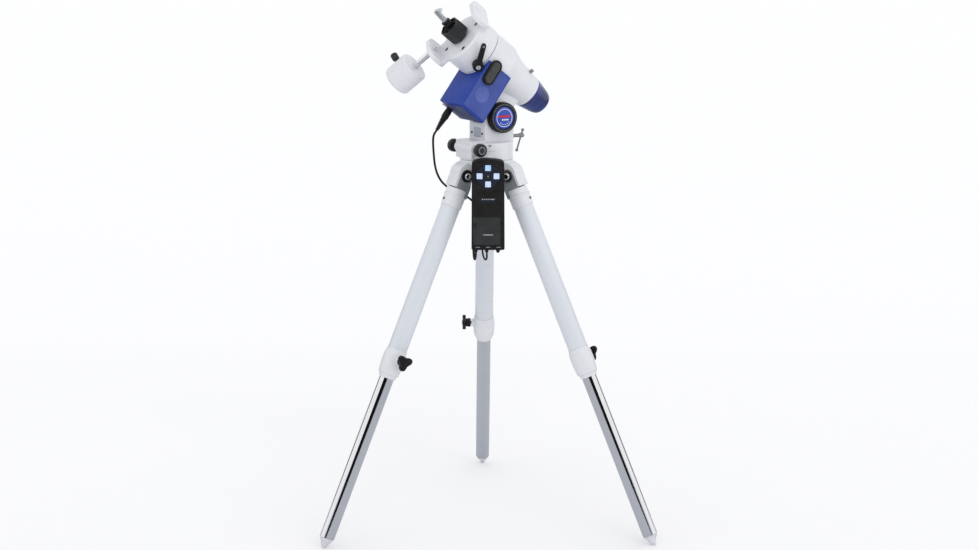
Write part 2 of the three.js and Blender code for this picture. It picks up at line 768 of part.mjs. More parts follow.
// Lever that clamps the head to the worm wheel.
function clampLever() {
  const hub = alongY(turned([
    [0, 47], [4, 47], [4, 59], [11, 59], [12.5, 61], [12.5, 72], [10.5, 75], [6, 75], [5, 76.5], [0, 76.5],
  ]));
  const arm = new THREE.Shape();
  arm.moveTo(0, -6);
  arm.lineTo(leverReach, -5.4);
  arm.absarc(leverReach, 0, 5.4, -Math.PI / 2, Math.PI / 2);
  arm.lineTo(0, 6);
  const handle = alongY(plate(arm, 64, 72, 6).rotateZ(-rad(leverAngle)));
  return toGeometry(joined([hub, handle])).translate(0, 0, leverZ);
}

// Eight-sided knob that clamps the ball, with its stud.
function headKnob() {
  const back = headFace + 1;
  const body = turned([[0, back], [19, back], [25, back + 5], [25, 31], [23, 33], [0, 33]], 8);
  const stud = bar(7.6, headFace - 7.5, back + 1, small);
  return cut([body, stud], [bar(14.2, 6, 27), bar(20.5, 26, 34)]);
}

// Ball and ringed neck, about the ball's centre.
function headCollar() {
  const ball = new THREE.SphereGeometry(13.2, 16, 8).rotateX(Math.PI / 2);
  const neck = turned([
    [0, 8], [8.6, 8], [8.6, 15], [10.2, 16], [10.2, 20], [8.8, 21], [8.8, 23], [10.2, 24], [10.2, 28], [0, 28],
  ], small);
  return toGeometry(joined([ball, neck]));
}

// Stem with a flat down one side and a thin wing at its tip, about the ball's centre.
function headStem() {
  const stem = turned([[0, 28.3], [6.5, 28.3], [6.5, 57], [5, 60], [0, 60]], small);
  const wing = turned([[0, 53], [12.5, 53], [12.5, 55], [0, 55]]);
  const flat = block([4.2, -7, 31], [8, 7, 51]);
  const halfWing = block([-14, -14, 52], [2, 14, 56]);
  const trimmedWing = cut([wing], [halfWing]);
  return cut([stem, trimmedWing], [flat]);
}

function counterweightShaft() {
  return alongX(turned([
    [0, earGap - 3], [rodRadius, earGap - 3], [rodRadius, earOuter + gap], [10.5, earOuter + gap],
    [10.5, earOuter + 8], [rodRadius, earOuter + 9], [rodRadius, weightOuter - 5], [0, weightOuter - 3],
  ])).translate(0, 0, earAxisHeight);
}

// Counterweight with a recessed end and a threaded hole for its clamp screw.
function counterweight() {
  const bore = rodRadius + gap;
  const body = alongX(turned([
    [bore, weightInner], [30.5, weightInner], [weightRadius, weightInner + 4.5],
    [weightRadius, weightOuter - 4.5], [30.5, weightOuter], [15, weightOuter], [13, weightOuter - 4],
    [bore, weightOuter - 4], [bore, weightInner],
  ], fine));
  const hole = bar(3 + gap, 5, 40, small).rotateX(rad(53)).translate((weightInner + weightOuter) / 2, 0, 0);
  return cut([body], [hole]).translate(0, 0, earAxisHeight);
}

function counterweightScrew() {
  const screw = turned([[0, 7.8], [3, 7.8], [3, 39.5], [7, 39.5], [8, 41], [8, 54], [6.8, 55.5], [0, 55.5]], small);
  return screw.rotateX(rad(53)).translate((weightInner + weightOuter) / 2, 0, earAxisHeight);
}

function buildHead() {
  add(head, 'polar_shaft', polarShaft(), 'steel');
  add(head, 'ra_head', raHead(), 'white_paint');
  add(head, 'clamp_lever', clampLever(), 'black_plastic');
  add(head, 'head_knob', headKnob(), 'black_plastic');
  const ball = subgroup(head, 0, 0, ballHeight);
  ball.rotation.set(0, rad(lean), rad(90 - headTurn), 'ZYX');
  add(ball, 'head_collar', headCollar(), 'black_plastic');
  add(ball, 'head_stem', headStem(), 'chrome');
  add(head, 'counterweight_shaft', counterweightShaft(), 'chrome');
  add(head, 'counterweight', counterweight(), 'white_paint');
  add(head, 'counterweight_screw', counterweightScrew(), 'black_plastic');
}

// ---------------------------------------------------------------- hand controller
// Its own frame: origin on the floor under the vertical axis, squared up to the front.
const front = subgroup(azimuth);
front.rotation.z = -azimuth.rotation.z;
const wellDepth = 5;
const wellSide = buttonSide + 0.8;
const coverPlate = { left: -29.5, right: 31, low: 648, high: 709, depth: 2.6 };
const socketY = -93;
const cableSocketX = -23;
const leadSocketX = 0.6;
const switchX = 25;
const buttons = {
  up: [0, buttonSpread - 0.6],
  down: [0, -buttonSpread + 0.6],
  left: [-buttonSpread, 0],
  right: [buttonSpread, 0],
};

// Case with a well for each button, a recess for the battery cover and sockets in its foot.
function controllerCase() {
  const half = caseWidth / 2;
  const shape = new THREE.Shape();
  shape.moveTo(-half + 4, caseBottom);
  shape.lineTo(half - 4, caseBottom);
  shape.quadraticCurveTo(half, caseBottom, half, caseBottom + 4);
  shape.lineTo(half - 1, caseTop - 12);
  shape.quadraticCurveTo(half - 1, caseTop - 4, half - 12, caseTop - 2.5);
  shape.quadraticCurveTo(0, caseTop + 2.5, -half + 12, caseTop - 2.5);
  shape.quadraticCurveTo(-half + 1, caseTop - 4, -half + 1, caseTop - 12);
  shape.lineTo(-half, caseBottom + 4);
  shape.quadraticCurveTo(-half, caseBottom, -half + 4, caseBottom);
  const body = upright(plate(shape, -caseBack, -caseFront, 5)).translate(caseCentre, 0, 0);
  const tools = Object.values(buttons).map(([x, z]) => block(
    [caseCentre + x - wellSide / 2, caseFront - 1, buttonCentreHeight + z - wellSide / 2],
    [caseCentre + x + wellSide / 2, caseFront + wellDepth, buttonCentreHeight + z + wellSide / 2],
  ));
  const { left, right, low, high, depth } = coverPlate;
  tools.push(block([left, caseFront - 1, low], [right, caseFront + depth, high]));
  for (const x of [cableSocketX, leadSocketX, switchX]) {
    tools.push(bar(3.4, caseBottom - 1, caseBottom + 8, small).translate(x, socketY, 0));
  }
  tools.push(alongY(bar(3.4, -10, 1, small)).translate(leadSocketX, caseBack, 671));
  return cut([body], tools);
}

function batteryCover() {
  const { left, right, low, high, depth } = coverPlate;
  return block([left + gap, caseFront + 0.4, low + gap], [right - gap, caseFront + depth - gap, high - gap]);
}

function controlButton([x, z]) {
  const cap = roundedRectangle(buttonSide, buttonSide, 1.5, caseCentre + x, buttonCentreHeight + z);
  return upright(plate(cap, -caseFront - wellDepth + 2.2, -caseFront + 1.6, 3));
}

// Slide switch in the case's foot.
function powerSwitch() {
  return turned([[0, 629], [2.4, 629], [3, 630], [3, caseBottom + 5], [0, caseBottom + 5]], small)
    .translate(switchX, socketY, 0);
}

// Route of the drive's cable, from its plug, behind the left leg and up into the case's foot.
const cableRoute = [
  [-110.5, -39.6, 886.5], [-113.6, -41.5, 881.6], [-115.6, -42, 874], [-116, -41.5, 862],
  [-115.5, -40, 848], [-114.5, -37, 832], [-113, -31, 815], [-110, -23, 799], [-105, -13, 784],
  [-97, -3, 770], [-85, 5, 758], [-70, 9, 749], [-54, 8, 742], [-39, 0, 735], [-28, -14, 727],
  [-22.5, -31, 717], [-24.5, -47, 706], [-27.5, -57.5, 695], [-29.3, -63, 682], [-29.8, -65.5, 667],
  [-29.3, -66, 651], [-28.8, -66.5, 637], [-28.2, -68.5, 624.5], [-27.3, -73.8, 615.5], [-25.9, -81.3, 612.4],
  [-24.3, -88.6, 615.8], [-23.3, -92.3, 624], [-23, -93, 633], [-23, -93, 636.7],
];

// Route of the battery lead, from the case's foot round into its back.
const leadRoute = [
  [0.6, -93, 636.7], [0.7, -93, 628], [0.9, -91.2, 619.3], [-0.8, -85, 612.8], [-3.8, -76.5, 612.2],
  [-6.8, -69, 617.5], [-8.6, -64.5, 627], [-9, -62, 639], [-7.6, -61.4, 651], [-4.2, -63, 662],
  [-0.6, -68, 669.4], [0.6, -74.7, 671],
];

function buildController() {
  add(front, 'controller_case', controllerCase(), 'black_plastic');
  add(front, 'battery_cover', batteryCover(), 'grey_plastic');
  for (const [name, place] of Object.entries(buttons)) {
    add(front, `control_button_${name}`, controlButton(place), 'button_blue');
  }
  add(front, 'power_switch', powerSwitch(), 'black_plastic');
  add(front, 'control_cable', cord(cableRoute, 2.4, 8, 50), 'cable_black');
  add(front, 'battery_lead', cord(leadRoute, 2, 8, 24), 'cable_black');
}

buildLegs();
buildHub();
buildAzimuth();
buildAltitude();
buildPolar();
buildHead();
buildController();

export default part;
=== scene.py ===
# Looks of a portable equatorial mount on its tripod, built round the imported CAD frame.
# Shapes are written in millimetres in the frame of the assembly that they belong to, and become
# metres in the row's frame when they are placed.
import json
import math

import bmesh
import bpy
from mathutils import Matrix, Vector


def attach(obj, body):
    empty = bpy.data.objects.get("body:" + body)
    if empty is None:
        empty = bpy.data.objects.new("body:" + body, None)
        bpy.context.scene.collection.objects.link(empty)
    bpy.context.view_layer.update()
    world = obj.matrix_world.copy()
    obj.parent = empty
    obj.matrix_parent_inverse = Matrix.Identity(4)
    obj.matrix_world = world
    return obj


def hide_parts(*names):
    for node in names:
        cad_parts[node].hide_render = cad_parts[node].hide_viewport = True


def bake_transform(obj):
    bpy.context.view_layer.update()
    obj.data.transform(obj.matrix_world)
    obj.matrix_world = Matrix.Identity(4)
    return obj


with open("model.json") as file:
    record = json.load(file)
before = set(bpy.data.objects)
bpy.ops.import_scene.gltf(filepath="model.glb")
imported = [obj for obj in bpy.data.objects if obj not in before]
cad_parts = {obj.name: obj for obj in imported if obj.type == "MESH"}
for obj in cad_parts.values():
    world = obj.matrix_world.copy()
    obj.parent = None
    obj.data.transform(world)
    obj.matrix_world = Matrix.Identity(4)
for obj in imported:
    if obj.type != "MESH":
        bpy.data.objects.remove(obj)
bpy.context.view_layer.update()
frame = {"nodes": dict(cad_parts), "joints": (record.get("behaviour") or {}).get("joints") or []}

MM = 0.001
UP = Vector((0, 0, 1))
JOINTS = {joint["name"]: joint for joint in frame["joints"]}
LEGS = ("left", "right", "rear")


# ---------------------------------------------------------------- camera
LENS = 66.63
CAMERA_PLACE = (0.0, -4.0592, 1.3421)
CAMERA_PITCH = 11.152  # degrees below level


def make_camera():
    data = bpy.data.cameras.new("camera")
    data.lens = LENS
    data.sensor_width = 36
    camera = bpy.data.objects.new("camera", data)
    camera.location = CAMERA_PLACE
    camera.rotation_euler = (math.radians(90 - CAMERA_PITCH), 0, 0)
    bpy.context.scene.collection.objects.link(camera)
    bpy.context.scene.camera = camera


make_camera()


# ---------------------------------------------------------------- frames of the assemblies
def joint_axis(name):
    return Vector(JOINTS[name]["axis"]).normalized()


def joint_point(name):
    return Vector(JOINTS[name]["pos_m"])


def axes(origin, x, y, z):
    """A matrix that takes millimetres along x, y and z from origin to metres in the row's frame."""
    turn = Matrix((x, y, z)).transposed()
    return Matrix.Translation(origin) @ (turn * MM).to_4x4()


def leg_frame(leg):
    """Origin at the leg's pivot, Y along its bolt, Z up the leg."""
    y = joint_axis(f"leg_fold_{leg}")
    z = -joint_axis(f"leg_extend_{leg}")
    return axes(joint_point(f"leg_fold_{leg}"), y.cross(z), y, z)


LEAN = math.radians(8)  # of the head's stem from the polar axis
CENTRE = joint_point("azimuth_turn")
CENTRE.z = 0  # on the floor, under the vertical axis
ALTITUDE_AXIS = -joint_axis("altitude_tilt")
POLAR_AXIS = joint_axis("head_turn")
UPWARD = POLAR_AXIS.cross(ALTITUDE_AXIS)
WEIGHT_AXIS = joint_axis("weight_slide")

STAND = axes(CENTRE, Vector((1, 0, 0)), Vector((0, 1, 0)), UP)
AZIMUTH = axes(CENTRE, ALTITUDE_AXIS.cross(UP), ALTITUDE_AXIS, UP)
TILT = axes(joint_point("altitude_tilt"), POLAR_AXIS, ALTITUDE_AXIS, UPWARD)
POLAR = axes(joint_point("head_turn"), ALTITUDE_AXIS, UPWARD, POLAR_AXIS)
HEAD = axes(joint_point("head_turn"), WEIGHT_AXIS, POLAR_AXIS.cross(WEIGHT_AXIS), POLAR_AXIS)
STEM_Z = POLAR_AXIS * math.cos(LEAN) + UPWARD * math.sin(LEAN)
STEM = axes(joint_point("stem_tilt"), (-ALTITUDE_AXIS).cross(STEM_Z), -ALTITUDE_AXIS, STEM_Z)


def bearing_frame(leg):
    """Origin on the floor under the vertical axis, X towards the leg's foot."""
    y = joint_axis(f"leg_fold_{leg}")
    return axes(CENTRE, y.cross(UP), y, UP)


# ---------------------------------------------------------------- mesh helpers, in millimetres
FINE = 96
MEDIUM = 64
SMALL = 32
SOFT = 0.6  # usual rounding of an edge


def softened(points, closed, default=SOFT, steps=4):
    """A polyline with its corners rounded. A point may carry its own rounding as a third number."""
    made = []
    count = len(points)
    for i, point in enumerate(points):
        corner = Vector(point[:2])
        rounding = point[2] if len(point) > 2 else default
        if (not closed and i in (0, count - 1)) or rounding == 0:
            made.append(corner)
            continue
        before = Vector(points[i - 1][:2]) - corner
        after = Vector(points[(i + 1) % count][:2]) - corner
        start = corner + before.normalized() * min(rounding, 0.45 * before.length)
        end = corner + after.normalized() * min(rounding, 0.45 * after.length)
        for step in range(steps + 1):
            t = step / steps
            made.append((1 - t) ** 2 * start + 2 * t * (1 - t) * corner + t * t * end)
    return made


def bmesh_of(faces_of, *values):
    made = bmesh.new()
    faces_of(made, *values)
    bmesh.ops.remove_doubles(made, verts=made.verts, dist=1e-4)
    bmesh.ops.recalc_face_normals(made, faces=made.faces)
    return made


def turned(profile, segments=MEDIUM, soft=SOFT):
    """A round body about Z from (radius, height) points, which start and end on the axis or close."""
    closed = profile[0][0] > 0 or profile[-1][0] > 0
    points = softened(profile, closed, soft)

    def fill(made):
        rings = []
        for radius, height in points:
            if radius < 1e-6:
                rings.append([made.verts.new((0, 0, height))])
                continue
            ring = []
            for i in range(segments):
                angle = 2 * math.pi * i / segments
                ring.append(made.verts.new((radius * math.cos(angle), radius * math.sin(angle), height)))
            rings.append(ring)
        pairs = list(zip(rings, rings[1:]))
        if closed:
            pairs.append((rings[-1], rings[0]))
        for low, high in pairs:
            for i in range(segments):
                j = (i + 1) % segments
                corners = [low[i % len(low)], low[j % len(low)], high[j % len(high)], high[i % len(high)]]
                corners = list(dict.fromkeys(corners))
                if len(corners) > 2:
                    made.faces.new(corners)

    return bmesh_of(fill)


def bar(radius, low, high, segments=MEDIUM, soft=SOFT):
    return turned([(0, low), (radius, low), (radius, high), (0, high)], segments, soft)


def plate(points, low, high, soft=SOFT):
    """A flat outline pushed along Z, with its rims rounded."""
    made = bmesh.new()
    bottom = made.faces.new([made.verts.new((x, y, low)) for x, y in points])
    bmesh.ops.extrude_face_region(made, geom=[bottom], use_keep_orig=True)
    top = [v for v in made.verts if v not in bottom.verts]
    bmesh.ops.translate(made, verts=top, vec=(0, 0, high - low))
    bmesh.ops.recalc_face_normals(made, faces=made.faces)
    if soft:
        rims = [e for e in made.edges if abs(e.verts[0].co.z - e.verts[1].co.z) < 1e-6]
        bmesh.ops.bevel(made, geom=rims, offset=soft, segments=3, profile=0.5, affect="EDGES")
    return made


def block(low, high, soft=0):
    made = bmesh.new()
    bmesh.ops.create_cube(made, size=1)
    size = [b - a for a, b in zip(low, high)]
    centre = [(a + b) / 2 for a, b in zip(low, high)]
    bmesh.ops.scale(made, verts=made.verts, vec=size)
    bmesh.ops.translate(made, verts=made.verts, vec=centre)
    if soft:
        bmesh.ops.bevel(made, geom=made.edges[:], offset=soft, segments=3, profile=0.5, affect="EDGES")
    return made


def ball(radius, centre=(0, 0, 0), segments=SMALL):
    made = bmesh.new()
    bmesh.ops.create_uvsphere(made, u_segments=segments, v_segments=segments // 2, radius=radius)
    return moved(made, Matrix.Translation(centre))


def moved(made, matrix):
    bmesh.ops.transform(made, matrix=matrix, verts=made.verts)
    return made


def turn_x(degrees):
    return Matrix.Rotation(math.radians(degrees), 4, "X")


def turn_y(degrees):
    return Matrix.Rotation(math.radians(degrees), 4, "Y")


def turn_z(degrees):
    return Matrix.Rotation(math.radians(degrees), 4, "Z")


def shift(x, y, z):
    return Matrix.Translation((x, y, z))


def along_x(made):
    return moved(made, turn_y(90))


def along_y(made):
    return moved(made, turn_x(-90))


def pin_x(radius, low, high, y=0, z=0, segments=SMALL):
    """A plain round bar along X, for a hole or a boss."""
    return moved(along_x(bar(radius, low, high, segments, 0)), shift(0, y, z))


def pin_y(radius, low, high, x=0, z=0, segments=SMALL):
    """A plain round bar along Y, for a hole or a boss."""
    return moved(along_y(bar(radius, low, high, segments, 0)), shift(x, 0, z))


def upright(made):
    """Turns a plate so that its outline lies in X and Z and its thickness along -Y."""
    return moved(made, turn_x(90))


ON_SIDE = Matrix(((0, 0, 1, 0), (1, 0, 0, 0), (0, 1, 0, 0), (0, 0, 0, 1)))


def sideways(made):
    """Turns a plate so that its outline lies in Y and Z and its thickness along X."""
    return moved(made, ON_SIDE)


def arc(x, y, radius, start, end, steps=16):
    """Points on an arc, angles in degrees."""
    points = []
    for i in range(steps + 1):
        angle = math.radians(start + (end - start) * i / steps)
        points.append((x + radius * math.cos(angle), y + radius * math.sin(angle)))
    return points


def bend(start, control, end, steps=12):
    """Points on a quadratic curve."""
    points = []
    for i in range(steps + 1):
        t = i / steps
        points.append(tuple((1 - t) ** 2 * a + 2 * t * (1 - t) * b + t * t * c
                            for a, b, c in zip(start, control, end)))
    return points


def round_rectangle(width, height, radius, x=0, y=0):
    right, top = x + width / 2 - radius, y + height / 2 - radius
    left, bottom = x - width / 2 + radius, y - height / 2 + radius
    return (arc(right, bottom, radius, -90, 0) + arc(right, top, radius, 0, 90)
            + arc(left, top, radius, 90, 180) + arc(left, bottom, radius, 180, 270))


def joined(bodies):
    """Several closed bodies in one mesh, without merging them."""
    made = bodies[0]
    for other in bodies[1:]:
        data = bpy.data.meshes.new("part")
        other.to_mesh(data)
        made.from_mesh(data)
        bpy.data.meshes.remove(data)
    return made


def around(made, count, radius=0):
    """Copies of a body in one mesh, evenly spaced round Z at a radius."""
    turns = [turn_z(360 * i / count) for i in range(count)]
    return joined([moved(made.copy(), turn @ shift(radius, 0, 0)) for turn in turns])


def as_object(made):
    data = bpy.data.meshes.new("work")
    made.to_mesh(data)
    made.free()
    thing = bpy.data.objects.new("work", data)
    bpy.context.scene.collection.objects.link(thing)
    return thing


def applied(thing):
    """The object's mesh with its modifiers applied, as a bmesh. The object goes."""
    graph = bpy.context.evaluated_depsgraph_get()
    data = bpy.data.meshes.new_from_object(thing.evaluated_get(graph))
    made = bmesh.new()
    made.from_mesh(data)
    bpy.data.meshes.remove(data)
    bpy.data.objects.remove(thing)
    return made


def merged(bodies, tools=()):
    """Bodies joined into one solid, less the tools."""
    base = as_object(bodies[0])
    others = [(as_object(body), "UNION") for body in bodies[1:]]
    others += [(as_object(tool), "DIFFERENCE") for tool in tools]
    for other, operation in others:
        step = base.modifiers.new(operation, "BOOLEAN")
        step.operation = operation
        step.solver = "EXACT"
        step.object = other
    made = applied(base)
    for other, _ in others:
        bpy.data.objects.remove(other)
    return made


CAST_GRAIN = 0.9  # size of the cells that a casting's edges are rounded with


def cast(bodies, tools=(), smooth=6):
    """A casting: bodies joined and cut, with every edge and inside corner softly rounded."""
    thing = as_object(merged(bodies, tools))
    cells = thing.modifiers.new("cells", "REMESH")
    cells.mode = "VOXEL"
    cells.voxel_size = CAST_GRAIN
    ease = thing.modifiers.new("ease", "SMOOTH")
    ease.factor = 0.5
    ease.iterations = smooth
    return applied(thing)


def finished(name, made, material, replaces, sharp):
    """A named piece with smooth faces, from a body that is already in the row's frame."""
    data = bpy.data.meshes.new(name)
    made.to_mesh(data)
    made.free()
    data.polygons.foreach_set("use_smooth", [True] * len(data.polygons))
    data.set_sharp_from_angle(angle=math.radians(sharp))
    data.materials.append(material)
    piece = bpy.data.objects.new(name, data)
    bpy.context.scene.collection.objects.link(piece)
    if replaces:
        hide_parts(*replaces)
    return piece


def place(name, made, matrix, body, material, replaces=(), sharp=35):
    """Puts a body's mesh in the row's frame, as a finished piece that rides on a CAD body."""
    piece = finished(name, moved(made, matrix), material, replaces, sharp)
    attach(piece, body)


# ---------------------------------------------------------------- materials
def shader(name, color, roughness, metallic=0.0, coat=0.0, gloss=0.5):
    made = bpy.data.materials.new(name)
    made.use_nodes = True
    principled = made.node_tree.nodes["Principled BSDF"]
    principled.inputs["Base Color"].default_value = (*color, 1)
    principled.inputs["Roughness"].default_value = roughness
    principled.inputs["Metallic"].default_value = metallic
    principled.inputs["Coat Weight"].default_value = coat
    principled.inputs["Specular IOR Level"].default_value = gloss
    return made


def noise(material, scale, detail, stretch=(1, 1, 1)):
    """A noise texture in the piece's own space; scale is in cells per metre."""
    tree = material.node_tree
    place_of = tree.nodes.new("ShaderNodeTexCoord")
    mapping = tree.nodes.new("ShaderNodeMapping")
    mapping.inputs["Scale"].default_value = stretch
    texture = tree.nodes.new("ShaderNodeTexNoise")
    texture.inputs["Scale"].default_value = scale
    texture.inputs["Detail"].default_value = detail
    tree.links.new(place_of.outputs["Object"], mapping.inputs["Vector"])
    tree.links.new(mapping.outputs["Vector"], texture.inputs["Vector"])
    return texture


# the part of a noise's range that a change of colour or roughness is spread over
NOISE_LOW = 0.3
NOISE_HIGH = 0.7


def vary_color(material, low, high, scale):
    """Colour that drifts between low and high over the surface."""
    tree = material.node_tree
    texture = noise(material, scale, 3.0)
    ramp = tree.nodes.new("ShaderNodeValToRGB")
    ends = ramp.color_ramp.elements
    ends[0].position = NOISE_LOW
    ends[1].position = NOISE_HIGH
    ends[0].color = (*low, 1)
    ends[1].color = (*high, 1)
    tree.links.new(texture.outputs["Fac"], ramp.inputs["Fac"])
    tree.links.new(ramp.outputs["Color"], tree.nodes["Principled BSDF"].inputs["Base Color"])


def vary_roughness(material, low, high, scale, stretch=(1, 1, 1)):
    tree = material.node_tree
    texture = noise(material, scale, 5.0, stretch)
    spread = tree.nodes.new("ShaderNodeMapRange")
    spread.inputs["From Min"].default_value = NOISE_LOW
    spread.inputs["From Max"].default_value = NOISE_HIGH
    spread.inputs["To Min"].default_value = low
    spread.inputs["To Max"].default_value = high
    tree.links.new(texture.outputs["Fac"], spread.inputs["Value"])
    tree.links.new(spread.outputs["Result"], tree.nodes["Principled BSDF"].inputs["Roughness"])


def roughen(material, scale, height, stretch=(1, 1, 1)):
    """A fine bump; height is in metres."""
    tree = material.node_tree
    texture = noise(material, scale, 3.0, stretch)
    bump = tree.nodes.new("ShaderNodeBump")
    bump.inputs["Strength"].default_value = 1.0
    bump.inputs["Distance"].default_value = height
    tree.links.new(texture.outputs["Fac"], bump.inputs["Height"])
    tree.links.new(bump.outputs["Normal"], tree.nodes["Principled BSDF"].inputs["Normal"])


def tinted(name, low, high, drift, roughness, grain=None, metallic=0.0, coat=0.0, gloss=0.5):
    """A material whose colour drifts between low and high, over drift cells per metre.
    roughness is one value, or all that vary_roughness takes; grain is all that roughen takes."""
    middle = [(a + b) / 2 for a, b in zip(low, high)]
    varied = isinstance(roughness, tuple)
    made = shader(name, middle, roughness[0] if varied else roughness, metallic, coat, gloss)
    vary_color(made, low, high, drift)
    if varied:
        vary_roughness(made, *roughness)
    if grain:
        roughen(made, *grain)
    return made


def ink(name, color):
    return tinted(name, [0.9 * c for c in color], [1.08 * c for c in color], 150, 0.45)


ENAMEL = tinted("white_enamel", (0.68, 0.695, 0.725), (0.71, 0.725, 0.755), 14, (0.26, 0.36, 60),
                (900, 2e-5), coat=0.2)
TUBE_WHITE = tinted("white_tube", (0.64, 0.665, 0.72), (0.66, 0.685, 0.74), 5, (0.26, 0.32, 30),
                    (1200, 6e-6), coat=0.2)
FITTING = tinted("cast_fitting", (0.25, 0.28, 0.31), (0.36, 0.39, 0.42), 40, (0.32, 0.48, 150),
                 (1800, 3e-5), metallic=0.35)
CHROME = tinted("chrome", (0.86, 0.86, 0.87), (0.9, 0.9, 0.9), 20, (0.04, 0.08, 60), metallic=1)
STEEL = tinted("steel", (0.3, 0.3, 0.31), (0.44, 0.44, 0.45), 80, (0.2, 0.38, 300, (1, 1, 12)),
               (1500, 1e-5, (1, 1, 10)), metallic=1)
SATIN = tinted("satin_steel", (0.5, 0.54, 0.54), (0.72, 0.75, 0.75), 60, (0.16, 0.3, 120),
               metallic=1)
BRASS = tinted("brass", (0.52, 0.36, 0.13), (0.66, 0.48, 0.2), 60, (0.24, 0.4, 200), metallic=1)
BLACK = tinted("black_plastic", (0.007, 0.007, 0.008), (0.014, 0.014, 0.015), 60, (0.34, 0.52, 200),
               (2500, 3e-5), gloss=0.22)
KNOB = tinted("knob_plastic", (0.011, 0.012, 0.012), (0.018, 0.019, 0.019), 60, (0.26, 0.4, 150))
CASE = tinted("case_plastic", (0.009, 0.0085, 0.008), (0.016, 0.0155, 0.015), 50, (0.42, 0.6, 150),
              (3000, 5e-5), gloss=0.2)
PANEL = tinted("grey_panel", (0.026, 0.028, 0.028), (0.036, 0.038, 0.038), 50, (0.42, 0.58, 150),
               (2600, 4e-5), gloss=0.22)
BLUE = tinted("blue_cover", (0.015, 0.043, 0.28), (0.022, 0.058, 0.33), 18, (0.4, 0.5, 120),
              (1600, 3e-5), gloss=0.2)
# the side panel's paler blue is partly painted light on the face that the light falls on
PANEL_BLUE_AND_LIGHT = tinted("blue_panel_and_painted_light", (0.032, 0.06, 0.28), (0.05, 0.085, 0.34), 25, 0.45, (1600, 3e-5))
BLUE_RELIEF = tinted("blue_relief", (0.06, 0.095, 0.34), (0.08, 0.125, 0.39), 30, 0.45, (1600, 3e-5))
BLUE_FLOOR = tinted("blue_floor", (0.05, 0.065, 0.17), (0.1, 0.115, 0.24), 90, 0.5, (900, 1e-4))
BLUE_GLOSS = tinted("blue_gloss", (0.01, 0.042, 0.33), (0.016, 0.06, 0.4), 40, 0.25, coat=0.3)
CAP_BLUE = tinted("cap_blue", (0.005, 0.01, 0.08), (0.014, 0.04, 0.25), 25, (0.12, 0.22, 80),
                  coat=0.5)
BUTTON_BLUE = tinted("button_blue", (0.36, 0.6, 0.87), (0.5, 0.72, 0.93), 120, 0.3, coat=0.2)
BUTTON_PALE = tinted("button_pale", (0.54, 0.67, 0.9), (0.68, 0.78, 0.95), 120, 0.3, coat=0.2)
FOOT = tinted("foot_plastic", (0.58, 0.58, 0.63), (0.72, 0.72, 0.77), 70, 0.5, (1200, 5e-5))
WINDOW = tinted("window_grey", (0.38, 0.42, 0.49), (0.47, 0.51, 0.58), 90, 0.3, coat=0.2)
GREY = tinted("lever_grey", (0.04, 0.04, 0.039), (0.062, 0.062, 0.06), 90, 0.45, (1800, 4e-5),
              gloss=0.3)
RUBBER = tinted("cable_rubber", (0.008, 0.008, 0.009), (0.016, 0.016, 0.017), 90, 0.5,
                (2200, 4e-5), gloss=0.2)
INK_RED = ink("ink_red", (0.5, 0.01, 0.03))
INK_DIM = ink("ink_dim_red", (0.07, 0.012, 0.012))
LAMP = ink("lamp_amber", (0.3, 0.22, 0.03))
INK_WHITE = ink("ink_white", (0.75, 0.78, 0.82))
INK_NAVY = ink("ink_navy", (0.005, 0.009, 0.03))
INK_GREY = ink("ink_grey", (0.25, 0.27, 0.3))
# dark colour; where it fills holes, slits, sockets and seams it is painted shade
SHADOW = ink("dark_hollow", (0.01, 0.01, 0.012))


# ---------------------------------------------------------------- cords
# Routes in metres from the point on the floor under the vertical axis.
CABLE_ROUTE = [
    (-0.1105, -0.0396, 0.8865), (-0.1136, -0.0415, 0.8816), (-0.1156, -0.042, 0.874),
    (-0.116, -0.0415, 0.862), (-0.1155, -0.04, 0.848), (-0.1145, -0.037, 0.832),
    (-0.113, -0.031, 0.815), (-0.11, -0.023, 0.799), (-0.105, -0.013, 0.784), (-0.097, -0.003, 0.77),
    (-0.085, 0.005, 0.758), (-0.07, 0.009, 0.749), (-0.054, 0.008, 0.742), (-0.039, 0.0, 0.735),
    (-0.028, -0.014, 0.727), (-0.0225, -0.031, 0.717), (-0.0245, -0.047, 0.706),
    (-0.0275, -0.0575, 0.695), (-0.0293, -0.063, 0.682), (-0.0298, -0.0655, 0.667),
    (-0.0293, -0.066, 0.651), (-0.0288, -0.0665, 0.637), (-0.0282, -0.0685, 0.6245),
    (-0.0273, -0.0738, 0.6155), (-0.0259, -0.0813, 0.6124), (-0.0243, -0.0886, 0.6158),
    (-0.0233, -0.0923, 0.624), (-0.023, -0.093, 0.633), (-0.023, -0.093, 0.6367),
]
LEAD_ROUTE = [
    (0.0006, -0.093, 0.6367), (0.0007, -0.093, 0.628), (0.0009, -0.0912, 0.6193),
    (-0.0008, -0.085, 0.6128), (-0.0038, -0.0765, 0.6122), (-0.0068, -0.069, 0.6175),
    (-0.0086, -0.0645, 0.627), (-0.009, -0.062, 0.639), (-0.0076, -0.0614, 0.651),
    (-0.0042, -0.063, 0.662), (-0.0006, -0.068, 0.6694), (0.0006, -0.0747, 0.671),
]
CABLE_DIAMETER = 0.0048
LEAD_DIAMETER = 0.004


